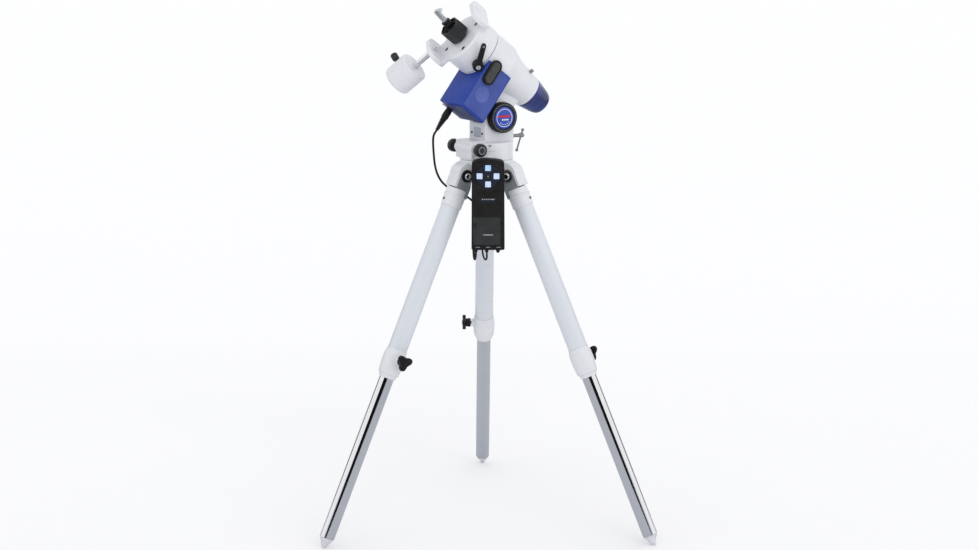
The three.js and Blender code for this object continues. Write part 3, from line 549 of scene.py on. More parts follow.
def smooth_route(points, steps=8):
    """Points close together on a smooth curve through the route, as a centripetal spline."""
    route = [CENTRE + Vector(p) for p in points]
    route = [2 * route[0] - route[1]] + route + [2 * route[-1] - route[-2]]
    made = []
    for p0, p1, p2, p3 in zip(route, route[1:], route[2:], route[3:]):
        t1 = (p1 - p0).length ** 0.5
        t2 = t1 + (p2 - p1).length ** 0.5
        t3 = t2 + (p3 - p2).length ** 0.5
        for step in range(steps):
            t = t1 + (t2 - t1) * step / steps
            a1 = p0.lerp(p1, t / t1)
            a2 = p1.lerp(p2, (t - t1) / (t2 - t1))
            a3 = p2.lerp(p3, (t - t2) / (t3 - t2))
            b1 = a1.lerp(a2, t / t2)
            b2 = a2.lerp(a3, (t - t1) / (t3 - t1))
            made.append(b1.lerp(b2, (t - t1) / (t2 - t1)))
    made.append(route[-2])
    return made


def cord_piece(name, points, diameter, node, sides=16):
    """A round tube along the points, with closed ends, that stands for a CAD cord."""
    made = bmesh.new()
    ahead = (points[1] - points[0]).normalized()
    across = ahead.orthogonal().normalized()
    rings = []
    for i, point in enumerate(points):
        before = points[max(i - 1, 0)]
        after = points[min(i + 1, len(points) - 1)]
        heading = (after - before).normalized()
        across = ahead.rotation_difference(heading) @ across
        ahead = heading
        side = heading.cross(across)
        ring = []
        for k in range(sides):
            angle = 2 * math.pi * k / sides
            out = across * math.cos(angle) + side * math.sin(angle)
            ring.append(made.verts.new(point + out * diameter / 2))
        rings.append(ring)
    for low, high in zip(rings, rings[1:]):
        for k in range(sides):
            made.faces.new((low[k], low[k - 1], high[k - 1], high[k]))
    made.faces.new(rings[0])
    made.faces.new(list(reversed(rings[-1])))
    bmesh.ops.recalc_face_normals(made, faces=made.faces)
    return finished(name, made, RUBBER, [node], sharp=50)


def make_cords():
    route = smooth_route(CABLE_ROUTE)
    cable = cord_piece("drive_cable", route, CABLE_DIAMETER, "control_cable")
    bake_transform(cable)
    route = smooth_route(LEAD_ROUTE)
    lead = cord_piece("power_loop", route, LEAD_DIAMETER, "battery_lead")
    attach(lead, "head_base")


make_cords()


# ---------------------------------------------------------------- legs
# Distances are measured down the leg from its pivot, so heights are negative.
UPPER_TUBE = 21.5
LOWER_TUBE = 16.2
SLEEVE_TOP = -32
TUBE_TOP = -38
SLEEVE_SCREW = -61
SLEEVE_END = -73
COLLAR_TOP = -405
UPPER_END = -415
CLAMP = -427
COLLAR_END = -472
TUBE_END = -842
FORK_IN = 12
FORK_OUT = 20
PIVOT_RADIUS = 62
PIVOT_HEIGHT = 790
GAP = 0.3


def leg_fitting(leg, matrix):
    """Two bare arms on a pale sleeve that holds the upper tube."""
    eye = [(-20, -47), (11, -47), (11, SLEEVE_TOP - 4)] + arc(0, 0, 13, 0, 150) + [(-20, -22)]
    cheeks = [upright(plate(eye, low, low + FORK_OUT - FORK_IN, 1)) for low in (-FORK_OUT, FORK_IN)]
    made = merged([joined(cheeks)], [pin_y(5 + GAP, -30, 30)])
    place(f"fitting_{leg}", made, matrix, f"leg_{leg}", FITTING,
          [f"leg_fitting_{leg}"])
    bore = UPPER_TUBE + 0.05
    roof = TUBE_TOP + 0.1
    sleeve = turned([
        (bore, SLEEVE_END), (22.8, SLEEVE_END), (23.4, SLEEVE_END + 0.8), (23.6, -50), (24.6, -49),
        (24.6, -46.6), (23, -45.8), (22.8, SLEEVE_TOP, 1.2), (0, SLEEVE_TOP), (0, roof), (bore, roof),
    ], FINE, 0.4)
    place(f"sleeve_{leg}", sleeve, matrix, f"leg_{leg}", ENAMEL)


def upper_tube(leg, matrix):
    bore = 18
    made = turned([
        (bore, UPPER_END), (UPPER_TUBE, UPPER_END), (UPPER_TUBE, TUBE_TOP), (bore, TUBE_TOP),
    ], FINE)
    place(f"tube_{leg}", made, matrix, f"leg_{leg}", TUBE_WHITE,
          [f"upper_tube_{leg}"])
    # small grub screw that holds the tube in its sleeve
    screw = turned([
        (0, 22), (2.6, 22), (2.6, 24.9), (1.4, 24.9), (1.4, 23.8), (0, 23.8),
    ], SMALL, 0.2)
    place(f"sleeve_screw_{leg}", moved(along_x(screw), shift(0, 0, SLEEVE_SCREW)), matrix,
          f"leg_{leg}", GREY)


def leg_collar(leg, matrix):
    bore = LOWER_TUBE + GAP
    socket = UPPER_TUBE + 0.1
    body = turned([
        (bore, COLLAR_END), (18.6, COLLAR_END), (19.4, COLLAR_END + 7), (20.4, COLLAR_END + 8, 0.3),
        (23, COLLAR_END + 10), (25.2, COLLAR_END + 30, 8), (25.2, COLLAR_TOP - 13, 3),
        (24.6, COLLAR_TOP - 12, 0.3), (24.6, COLLAR_TOP - 9, 0.3), (23.4, COLLAR_TOP - 8, 0.3),
        (22.4, COLLAR_TOP), (socket, COLLAR_TOP), (socket, UPPER_END), (bore, UPPER_END),
    ])
    boss = turned([(0, 20), (10.4, 20), (9, 26), (9, 30), (4, 30), (4, 21), (0, 21)], SMALL, 0.4)
    moved(along_y(boss), shift(0, 0, CLAMP))
    made = cast([body, boss], [bar(bore, COLLAR_END - 1, UPPER_END, MEDIUM, 0)], smooth=3)
    place(f"collar_{leg}", made, matrix, f"leg_{leg}", ENAMEL,
          [f"leg_collar_{leg}"])


def lower_tube(leg, matrix):
    bore, guide = 13.5, 17.6
    made = turned([
        (bore, TUBE_END), (LOWER_TUBE, TUBE_END), (LOWER_TUBE, -384), (guide, -384), (guide, -372),
        (bore, -372),
    ], FINE, 0.4)
    place(f"inner_tube_{leg}", made, matrix, f"leg_slider_{leg}", CHROME,
          [f"lower_tube_{leg}"])


def foot_tip(leg, matrix, floor):
    """Ferrule, cone and worn tip. The tip is cut flat where it meets the floor."""
    made = turned([
        (0, -866), (3.2, -866), (12, TUBE_END - 6.5, 1), (14.4, TUBE_END - 5, 0.4),
        (14.4, TUBE_END - 0.1, 0.4), (13.1, TUBE_END - 0.1, 0), (13.1, TUBE_END + 20),
        (0, TUBE_END + 20),
    ])
    bmesh.ops.bisect_plane(made, geom=made.verts[:] + made.edges[:] + made.faces[:],
                           plane_co=floor[0], plane_no=floor[1], clear_outer=True)
    bmesh.ops.holes_fill(made, edges=[e for e in made.edges if e.is_boundary])
    place(f"foot_{leg}", made, matrix, f"leg_slider_{leg}", FOOT, [f"foot_tip_{leg}"])


def lobes(count, middle, swing, steps=72):
    points = []
    for i in range(steps):
        angle = 2 * math.pi * i / steps
        radius = middle + swing * math.cos(count * angle)
        points.append((radius * math.sin(angle), radius * math.cos(angle)))
    return points


def leg_knob(leg, matrix):
    disc = plate(lobes(3, 15, 4), 43, 51, 1.6)
    hub = turned([(0, 31.5), (9, 31.5), (10.5, 34), (9.4, 43.5), (0, 43.5)], SMALL)
    stem = bar(3, LOWER_TUBE + 0.6, 33, SMALL, 0.3)
    cap = turned([(0, 50), (6, 50), (5.4, 52), (0, 52.4)], SMALL, 0.4)
    made = moved(along_y(merged([disc, hub, stem, cap])), shift(0, 0, CLAMP))
    place(f"clamp_knob_{leg}", made, matrix, f"leg_knob_{leg}", BLACK,
          [f"leg_clamp_knob_{leg}"])


def pivot_bolt(leg, matrix):
    """Bright bolt with a socket head, on two washers."""
    seat = 22.4
    bolt = turned([
        (0, -27), (5.4, -27), (7.6, -25.4, 1.4), (7.6, -seat), (4.9, -seat, 0), (4.9, seat, 0),
        (7.6, seat), (7.6, 25.4, 1.4), (5.6, 27), (3.4, 27, 0.2), (3.4, 24.4, 0.2), (0, 24.4),
    ])
    place(f"pivot_{leg}", along_y(bolt), matrix, "tripod_hub", CHROME,
          [f"leg_pivot_bolt_{leg}"])
    for end, side in (("back", -1), ("front", 1)):
        low, high = sorted((side * (FORK_OUT + 0.1), side * seat))
        washer = turned([(5, low), (13.5, low), (13.5, high), (5, high)], MEDIUM, 0.5)
        place(f"pivot_washer_{leg}_{end}", along_y(washer), matrix, "tripod_hub",
              STEEL if leg == "right" else BLACK)


def make_legs():
    for leg in LEGS:
        matrix = leg_frame(leg)
        inverse = matrix.inverted()
        floor = (inverse @ Vector((0, 0, 0)), (inverse.to_3x3() @ -UP).normalized())
        leg_fitting(leg, matrix.copy())
        upper_tube(leg, matrix)
        leg_collar(leg, matrix)
        lower_tube(leg, matrix)
        foot_tip(leg, matrix, floor)
        leg_knob(leg, matrix)
        pivot = bearing_frame(leg) @ shift(PIVOT_RADIUS, 0, PIVOT_HEIGHT)
        pivot_bolt(leg, pivot)


# ---------------------------------------------------------------- hub
SEAM = 824
HUB_BOTTOM = 768


def leg_tilt():
    down = joint_axis(f"leg_extend_{LEGS[0]}")
    return math.acos(-down.z)


def tripod_head():
    tilt = leg_tilt()

    def leg_point(down, out):
        return (PIVOT_RADIUS + down * math.sin(tilt) + out * math.cos(tilt),
                PIVOT_HEIGHT - down * math.cos(tilt) + out * math.sin(tilt))

    inner, outer = 13.8, 21
    top = SEAM - GAP
    corner = leg_point(2, outer)
    roof = [(20, top - 12), (20, top - 2.5)] + bend((54, top - 2.5), (80, 814), corner)
    roof += [leg_point(30, outer), leg_point(30, inner), leg_point(0, inner)]
    roof += arc(PIVOT_RADIUS, PIVOT_HEIGHT, inner, math.degrees(tilt), 120)
    lug = [(20, HUB_BOTTOM + 4), (PIVOT_RADIUS - 4, PIVOT_HEIGHT - 13)]
    lug += arc(PIVOT_RADIUS, PIVOT_HEIGHT, 13, -90, 45) + [(PIVOT_RADIUS + 4, 807), (20, 812)]
    bodies = [turned([
        (0, HUB_BOTTOM), (34, HUB_BOTTOM), (34, 806), (54, 812), (58.7, 815), (58.7, top), (0, top),
    ], FINE, 0)]
    tools = [bar(6.3, HUB_BOTTOM - 1, SEAM + 1, SMALL, 0)]
    for leg in LEGS:
        turn = AZIMUTH.inverted() @ bearing_frame(leg)
        bodies.append(moved(upright(plate(roof, -FORK_OUT, FORK_OUT, 0)), turn))
        web = FORK_IN - GAP
        bodies.append(moved(upright(plate(lug, -web, web, 0)), turn))
        tools.append(moved(pin_y(5.3, -30, 30, PIVOT_RADIUS, PIVOT_HEIGHT), turn))
    made = cast(bodies, tools)
    place("hub_casting", made, AZIMUTH, "tripod_hub", ENAMEL, ["tripod_head"])


def centre_bolt():
    knob = turned([
        (0, 706), (16, 706, 3), (22, 710, 2), (22, 726, 2), (18, 731, 2), (10, 734), (10, 767.5),
        (6, 767.5), (6, 842), (0, 842),
    ], FINE)
    made = merged([knob], [around(bar(2.2, 705, 735, 12, 0), 18, 23.4)])
    place("hub_knob", made, AZIMUTH, "hub_screw", BLACK, ["centre_bolt"])


# ---------------------------------------------------------------- azimuth base
BASE_TOP = 863
BASE_RADIUS = 58.7
AXLE_BACK = 12
AXLE_HEIGHT = 917
COLUMN_HALF = 33
CHEEK = 37.5
FORK_HALF = 20
SCREW_REACH = 50
SCREW_HEIGHT = 850
T_BOLT_HEIGHT = 869
CASE_CENTRE = 3.5
CASE_BACK = -75


def azimuth_base():
    bodies = [turned([
        (0, SEAM), (BASE_RADIUS, SEAM), (BASE_RADIUS, BASE_TOP - 1.5),
        (BASE_RADIUS - 1.5, BASE_TOP), (0, BASE_TOP),
    ], FINE, 0)]
    bodies.append(block((18, -COLUMN_HALF, SEAM + 4), (59, COLUMN_HALF, 867)))
    bodies.append(pin_y(11.5, -36, 36, SCREW_REACH, SCREW_HEIGHT, MEDIUM))
    cheek = [(-50, BASE_TOP - 4), (24, BASE_TOP - 4), (24, AXLE_HEIGHT)]
    cheek += arc(-AXLE_BACK, AXLE_HEIGHT, CHEEK, 0, 180, 32) + [(-50, AXLE_HEIGHT - 12)]
    bodies.append(upright(plate(cheek, -COLUMN_HALF, COLUMN_HALF, 0)))
    bodies.append(pin_y(CHEEK, COLUMN_HALF - 1, COLUMN_HALF + 4, -AXLE_BACK, AXLE_HEIGHT, FINE))
    hanger = block((CASE_CENTRE - 10, CASE_BACK + GAP, 825.5), (CASE_CENTRE + 10, -50, 833.5))
    bodies.append(moved(hanger, AZIMUTH.inverted() @ STAND))
    tools = [
        block((-40, -FORK_HALF, 858), (14, FORK_HALF, 990)),
        block((-80, -FORK_HALF, 892), (-30, FORK_HALF, 990)),
        block((0, -FORK_HALF, 904), (40, FORK_HALF, 990)),
        block((44, -16, SEAM - 1), (56, 16, 861)),
        pin_y(4.3, -60, 60, SCREW_REACH, SCREW_HEIGHT),
        pin_y(9.3, -60, 60, -AXLE_BACK, AXLE_HEIGHT),
        pin_x(4.2, -70, -30, 0, T_BOLT_HEIGHT),
        bar(6.3, SEAM - 1, SEAM + 20, SMALL, 0),
        block((10, -15, 872.5), (30, 15, 893.5)),
    ]
    made = cast(bodies, tools)
    place("base_casting", made, AZIMUTH, "head_base", ENAMEL, ["azimuth_base"])
    # painted shadow: a dark ring on the axle boss round the edge of the altitude ring
    line = along_y(turned([(35.2, 36.4), (35.7, 36.4), (35.7, 37.1), (35.2, 37.1)], FINE, 0))
    place("boss_shade_line", moved(line, shift(-AXLE_BACK, 0, AXLE_HEIGHT)), AZIMUTH, "head_base",
          SHADOW)


def window_and_screws():
    pane = block((19.5, -14.5, 873), (22, 14.5, 893), 0.4)
    place("window_pane", pane, AZIMUTH, "head_base", WINDOW, ["column_window"])
    for end, side in (("back", -1), ("front", 1)):
        screw = along_x(turned([
            (0, 23.2), (2.7, 23.2), (2.7, 25.3), (1.3, 25.3, 0.1), (1.3, 24.2, 0.1), (0, 24.2),
        ], SMALL, 0.3))
        place(f"window_screw_{end}", moved(screw, shift(0, 21.5 * side, 881)), AZIMUTH, "head_base",
              SHADOW)


def scale_marks():
    """Index triangle on the base's rim, and fine ticks below it."""
    aim = 66
    tip = plate([(-4.5, 0), (4.5, 0), (0, -6)], 0, 0.25, 0)
    out = turn_z(aim) @ shift(BASE_RADIUS - 0.1, 0, BASE_TOP - 3) @ ON_SIDE
    place("index_mark", moved(tip, out), AZIMUTH, "head_base", INK_GREY)
    ticks = []
    for i in range(13):
        length = 5 if i % 3 == 0 else 3
        tick = block((-0.25, 0, 0), (0.25, length, 0.2))
        turn = turn_z(aim + 2.2 * (i - 6))
        ticks.append(moved(tick, turn @ shift(BASE_RADIUS - 0.08, 0, BASE_TOP - 19) @ ON_SIDE))
    place("scale_ticks", joined(ticks), AZIMUTH, "head_base", INK_GREY)


def azimuth_knob(name, matrix, body):
    inner, outer = 50, 64
    knob = turned([
        (0, 4.8), (4, 4.8), (4, inner), (12.5, inner), (14.5, inner + 1.5, 1), (14.5, outer - 3.2, 1),
        (12.3, outer - 1), (10.6, outer - 1, 0.3), (10.4, outer - 2, 0.3), (9.2, outer - 2, 0.3),
        (9, outer - 0.1, 0.4), (3.6, outer - 0.1), (3.2, outer - 0.6, 0.2), (0, outer - 0.6),
    ], FINE)
    cuts = around(bar(0.75, inner + 1.2, outer - 2.6, 10, 0), 30, 14.7)
    place(f"{name}_grip", along_y(merged([knob], [cuts])), matrix, body, KNOB,
          [name])
    low, high = outer - 0.2, outer - 0.02
    face = along_y(turned([(6.6, low), (8.4, low), (8.4, high), (6.6, high)], FINE, 0))
    place(f"{name}_face", face, matrix, body, INK_GREY)


def altitude_bolt():
    rod = along_x(turned([
        (0, -97), (3.4, -97, 1.5), (5, -94, 1), (5, -85, 1), (3.9, -83.5), (3.9, -19.5), (0, -19.5),
    ], SMALL))
    handle = turned([
        (0, -42.5), (3.4, -41.4, 1), (3.4, -37.6, 0.8), (1.9, -36.4), (1.9, 11.4), (3.4, 12.6, 0.8),
        (3.4, 16.2, 1), (0, 17.5),
    ], SMALL)
    moved(handle, shift(-90, 0, 0) @ turn_x(-27))
    made = moved(merged([rod, handle]), shift(0, 0, T_BOLT_HEIGHT))
    place("altitude_t_bolt", made, AZIMUTH, "altitude_screw", STEEL,
          ["altitude_bolt"])


def make_base():
    azimuth_base()
    window_and_screws()
    scale_marks()
    screw = AZIMUTH @ shift(SCREW_REACH, 0, SCREW_HEIGHT)
    azimuth_knob("azimuth_knob_front", screw, "azimuth_screw_front")
    azimuth_knob("azimuth_knob_rear", screw @ turn_z(180), "azimuth_screw_rear")
    altitude_bolt()


# ---------------------------------------------------------------- altitude axis
RING_START = 37.3
BADGE_RADIUS = 24
BADGE_FACE = 55.4


def altitude_axis():
    axle = along_y(turned([
        (0, -44), (7, -44, 0.4), (7, -41, 0.4), (8.4, -41, 0.4), (8.4, -44, 0.4), (11, -44), (13, -42),
        (13, -33.4), (9, -33.4), (9, 36.7), (0, 36.7),
    ]))
    place("axle_bolt", axle, TILT, "polar_body", STEEL, ["altitude_axle"])
    well = BADGE_RADIUS + 0.2
    ring = turned([
        (0, RING_START), (33.4, RING_START), (33.4, 53.6, 1.2), (31.6, 56, 1), (25.4, 56, 0.5),
        (well, 54.6, 0.3), (well, 53), (0, 53),
    ], 144)
    made = along_y(merged([ring], [around(block((-0.5, -1, 41), (0.5, 1, 57)), 60, 33.5)]))
    place("altitude_ring", made, TILT, "polar_body", BLACK, ["latitude_ring"])
    ticks = along_y(around(block((-0.4, 27.2, 55.9), (0.4, 30.4, 56.06)), 50))
    place("ring_ticks", ticks, TILT, "polar_body", INK_GREY)
    disc = along_y(turned([
        (0, 53.2), (BADGE_RADIUS, 53.2), (BADGE_RADIUS, BADGE_FACE - 0.6),
        (BADGE_RADIUS - 0.9, BADGE_FACE), (0, BADGE_FACE),
    ], FINE, 0.3))
    place("badge_disc", disc, TILT, "polar_body", BLUE_GLOSS, ["latitude_badge"])


# the badge lies in the plane of the altitude ring, upright to someone who faces it
BADGE = TILT @ turn_y(37) @ shift(0, BADGE_FACE, 0) @ turn_x(-90) @ turn_z(180)


def badge_pattern():
    """Generic marks: a light ring, a red bar and small pale studs. No lettering."""
    ring = turned([(18.6, 0), (19.8, 0), (19.8, 0.25), (18.6, 0.25)], FINE, 0.05)
    place("badge_ring", ring, BADGE, "polar_body", INK_WHITE)
    band = plate(round_rectangle(32, 4.4, 2, 0, 3.2), 0, 0.3, 0.1)
    place("badge_bar", band, BADGE, "polar_body", INK_RED)
    studs = [plate(round_rectangle(3.4, 3, 0.8, x, -4.2), 0, 0.25, 0.05) for x in (-5, -0.6, 3.8, 8.2)]
    stud_circle = 14.4
    for angle in range(228, 319, 18):
        x = stud_circle * math.cos(math.radians(angle))
        y = stud_circle * math.sin(math.radians(angle))
        studs.append(plate(arc(x, y, 1.0, 0, 330, 11), 0, 0.25, 0))
    place("badge_studs", joined(studs), BADGE, "polar_body", INK_WHITE)


# ---------------------------------------------------------------- polar housing
AXLE_Y = -94
AXLE_Z = -171
HOUSING_END = -216
CAP_END = -268
COVER_LOW = -133
COVER_HIGH = -64
COVER_SIDE = 56.5
COVER_FAR = -41
WORM_Y = -49
WORM_Z = -94
SCOPE_SCREW_Z = -183
SCOPE_SCREW_ANGLE = 51.5
PLUG_X = -24
PLUG_Y = -138.5
PLUG_Z = -88


def ra_housing():
    wall = turned([
        (31, HOUSING_END), (37, HOUSING_END), (37.6, -206), (44, -157), (52, -132), (56, -121), (56, -62.1),
        (30, -62.1), (30, -66), (46, -66), (46, -118), (22.3, -118), (22.3, -150), (31, -154),
    ], 120, 0)
    lug = [(-34.5, -200), (AXLE_Y, AXLE_Z - 22)]
    lug += arc(AXLE_Y, AXLE_Z, 22, 260, 100, 16)
    lug += [(AXLE_Y, AXLE_Z + 22), (-62, COVER_LOW - 1), (-40, COVER_LOW - 1)]
    half = FORK_HALF - 0.6
    web = sideways(plate(lug, -half, half, 0))
    tail = sideways(plate([(-50, -6), (0, -6), (0, 6), (-50, 6)], -half, half, 0))
    moved(tail, shift(0, AXLE_Y, AXLE_Z) @ turn_x(37))
    window = block((-32, -62, WORM_Z - 12), (32, -30, WORM_Z + 12))
    axle = pin_x(9.3, -60, 60, AXLE_Y, AXLE_Z)
    hole = moved(pin_x(3.4, 20, 60, 0, SCOPE_SCREW_Z), turn_z(SCOPE_SCREW_ANGLE))
    made = cast([wall, web, tail], [window, axle, hole])
    place("housing_casting", made, POLAR, "polar_body", ENAMEL, ["ra_housing"])
    # painted shade in the dark groove of the seam between housing and head
    seam = turned([(50, -62), (55.3, -62), (55.3, -61.6), (50, -61.6)], FINE, 0)
    place("seam_shade", seam, POLAR, "polar_body", SHADOW)


def cover_corners(wall):
    """Corners of the drive cover's box: eight points, low end then high end."""
    far, side = COVER_FAR + wall, COVER_SIDE - wall
    top = -22 if wall else -16
    low = [(far, top), (far, -131 + wall), (side, -134 + wall), (side, top)]
    high = [(far, top), (far, -130 + wall), (side, -132 + wall), (side, top)]
    return [(x, y, COVER_LOW + wall) for x, y in low] + [(x, y, COVER_HIGH - wall) for x, y in high]


def cover_box(wall, soft):
    made = bmesh.new()
    verts = [made.verts.new(point) for point in cover_corners(wall)]
    for face in ((0, 1, 2, 3), (4, 7, 6, 5), (0, 4, 5, 1), (1, 5, 6, 2), (2, 6, 7, 3), (3, 7, 4, 0)):
        made.faces.new([verts[i] for i in face])
    bmesh.ops.recalc_face_normals(made, faces=made.faces)
    if soft:
        bmesh.ops.bevel(made, geom=made.edges[:], offset=soft, segments=4, profile=0.5, affect="EDGES")
    return made


def motor_cover():
    tools = [
        bar(56.4, COVER_LOW - 1, COVER_HIGH + 1, 120, 0),
        cover_box(2.6, 0),
        pin_x(4, 50, 60, WORM_Y, WORM_Z),
        pin_y(8, -160, -120, PLUG_X, PLUG_Z),
    ]
    made = merged([cover_box(0, 2.2)], tools)
    place("drive_cover", made, POLAR, "polar_body", BLUE, ["motor_cover"], sharp=28)
    # the cover's side is a frosted panel with a broad round relief; the panel's paler blue is partly
    # painted light on the face that the light falls on
    low, high = COVER_LOW + 3, COVER_HIGH - 2.6
    outline = [(-129, low), (-127.5, high), (-19, high), (-19, low)]
    panel = sideways(plate(outline, COVER_SIDE - 0.1, COVER_SIDE + 0.1, 0))
    place("cover_panel", panel, POLAR, "polar_body", PANEL_BLUE_AND_LIGHT)
    rim = COVER_SIDE + 0.28
    relief = along_x(turned([
        (0, COVER_SIDE - 0.2), (17.3, COVER_SIDE - 0.2), (17.2, rim), (14.6, rim, 0.1),
        (14.4, rim - 0.12, 0.1), (1.6, rim - 0.12, 0.1), (1.5, rim, 0.1), (0, rim),
    ], FINE, 0.1))
    place("cover_relief", moved(relief, shift(0, -86, -93.5)), POLAR, "polar_body", BLUE_RELIEF)
    # fine ribs across the cover's underside
    left, right = COVER_FAR + 6, COVER_SIDE - 8
    ribs = [block((left, -134.6, z), (right, -133.6, z + 1.4)) for z in range(-128, -68, 4)]
    place("cover_ribs", joined(ribs), POLAR, "polar_body", BLUE_FLOOR)


WORM_CAP = (59, 28, 13.9)  # length, height and corner radius
WORM_CAP_PLACE = (-35, -84)
WORM_CAP_OUTSIDE = COVER_SIDE + 7.5
CAP_RIM = 4.4


def worm_cap():
    """Oval cover over the worm's adjuster, with a soft grey pad set into it."""
    rim = round_rectangle(*WORM_CAP, *WORM_CAP_PLACE)
    length, height, corner = WORM_CAP
    inner = round_rectangle(length - 2 * CAP_RIM, height - 2 * CAP_RIM, corner - CAP_RIM, *WORM_CAP_PLACE)
    outer = sideways(plate(rim, COVER_SIDE + GAP, WORM_CAP_OUTSIDE, 1.8))
    inset = sideways(plate(inner, WORM_CAP_OUTSIDE - 0.9, WORM_CAP_OUTSIDE + 2, 0))
    made = merged([outer], [inset])
    place("worm_cap_shell", made, POLAR, "worm_cap", BLACK, ["knob_cover"])
    pad = sideways(plate(inner, WORM_CAP_OUTSIDE - 1.1, WORM_CAP_OUTSIDE - 0.3, 0.25))
    place("worm_cap_pad", pad, POLAR, "worm_cap", GREY)


def scope_screw():
    screw = along_x(turned([
        (0, 30.8), (3.2, 30.8), (3.2, 42), (3.6, 42), (4.2, 43), (4.2, 48), (3.6, 48.6), (0, 48.6),
    ], SMALL))
    turn = shift(0, 0, SCOPE_SCREW_Z) @ turn_z(SCOPE_SCREW_ANGLE)
    place("scope_lock", moved(screw, turn), POLAR, "telescope_screw", STEEL,
          ["scope_screw"])


def polar_cap():
    rim = HOUSING_END - GAP
    cup = turned([
        (0, CAP_END), (19, CAP_END, 2), (25.4, CAP_END + 4, 4), (28.6, CAP_END + 12, 6),
        (36.4, HOUSING_END - 3), (36.8, rim, 0.4), (33, rim), (26, CAP_END + 14), (0, CAP_END + 6),
    ], 144)
    groove = block((-0.8, -0.8, -0.5), (0.8, 0.8, 34))
    lean = math.degrees(math.atan2(8.0, 36.0))
    moved(groove, shift(0, 0, CAP_END + 15) @ turn_y(lean))
    made = merged([cup], [around(groove, 32, 29.6)])
    place("eyepiece_cup", made, POLAR, "eyepiece_cap", CAP_BLUE, ["polar_cap"])


def cable_plug():
    """Round plug with a ribbed grip and a tapered, ringed sleeve."""
    profile = [
        (0, -11), (7.4, -11), (7.4, 3), (8, 3.6), (8, 19, 1), (6.8, 21, 0.6), (6.8, 24, 0.4),
        (6, 24.6, 0.3),
    ]
    for i in range(6):
        start = 25.6 + 4.6 * i
        radius = 6.6 - 0.5 * i
        neck = radius - 2
        profile += [(radius, start, 0.3), (radius - 0.1, start + 2.6, 0.3)]
        profile += [(neck, start + 3.2, 0.2), (neck, start + 4.2, 0.2)]
    profile += [(2.6, 55.6), (0, 55.9)]
    made = moved(turned(profile), shift(PLUG_X, PLUG_Y, PLUG_Z) @ turn_x(90))
    place("drive_plug", made, POLAR, "polar_body", BLACK, ["cable_plug"])


def make_polar():
    ra_housing()
    motor_cover()
    worm_cap()
    scope_screw()
    polar_cap()
    cable_plug()


# ---------------------------------------------------------------- turning head
HEAD_RADIUS = 57.5
HEAD_SEAM = -61.2
HEAD_FACE = -5
EAR_GAP = 60
EAR_OUTER = 70.5
EAR_BOTTOM = -15
EAR_TIP = 31
HOLE_CIRCLE = 44
LEVER_Z = -49
LEVER_REACH = 51
LEVER_ANGLE = 147
ROD_RADIUS = 7
PIN_HEIGHT = 14
WEIGHT_IN = 121
WEIGHT_OUT = 181
WEIGHT_RADIUS = 34.5
WEIGHT_MIDDLE = (WEIGHT_IN + WEIGHT_OUT) / 2
WEIGHT_SCREW_TURN = 53


def ra_head():
    cup = turned([
        (22.3, HEAD_SEAM), (55.5, HEAD_SEAM), (HEAD_RADIUS, -59.5), (HEAD_RADIUS, -8),
        (HEAD_RADIUS - 3, HEAD_FACE), (8, HEAD_FACE), (8, -13), (22.3, -13),
    ], 120, 0)
    ear = [(-32, EAR_BOTTOM), (32, EAR_BOTTOM), (36, -4)] + bend((36, 8), (36, 28), (13, EAR_TIP))
    ear += bend((-13, EAR_TIP), (-36, 28), (-36, 8)) + [(-36, -4)]
    bodies = [cup]
    for angle in (0, 180):
        bodies.append(moved(sideways(plate(ear, EAR_GAP, EAR_OUTER, 0)), turn_z(angle)))
        foot = block((40, -32, EAR_BOTTOM), (EAR_GAP + 1, 32, HEAD_FACE - 0.4))
        bodies.append(moved(foot, turn_z(angle)))
    tools = [pin_x(7.3, -80, 80, 0, PIN_HEIGHT, MEDIUM)]
    for i in range(4):
        tools.append(moved(bar(4.7, -17, -4, SMALL, 0), turn_z(90 * i) @ shift(HOLE_CIRCLE, 0, 0)))
    tools.append(pin_y(4.3, 40, 60, 0, LEVER_Z))
    made = cast(bodies, tools)
    place("head_casting", made, HEAD, "turning_head", ENAMEL, ["ra_head"])
    # painted shade: dark discs set just below the face in its four holes
    wells = around(bar(4.6, -16.5, -5.8, SMALL, 0.2), 4, HOLE_CIRCLE)
    place("face_hole_shade", wells, HEAD, "turning_head", SHADOW)
    # the far ear's hole is closed by a set screw with a dark socket, the near ear's by the rod's end; the
    # dark of each socket is painted shade
    pin = HEAD @ shift(0, 0, PIN_HEIGHT)
    plug = along_x(bar(7.1, -EAR_OUTER + 0.6, -EAR_GAP - 0.6, MEDIUM, 0.3))
    place("ear_plug", plug, pin, "turning_head", ENAMEL)
    lid = pin_x(6.9, 57.1, 57.29, segments=MEDIUM)
    place("rod_end", lid, pin, "turning_head", ENAMEL)
    sockets = joined([pin_x(3, -EAR_GAP - 0.8, -EAR_GAP - 0.5), pin_x(2.2, 57, 57.14)])
    place("ear_socket_shade", sockets, pin, "turning_head", SHADOW)


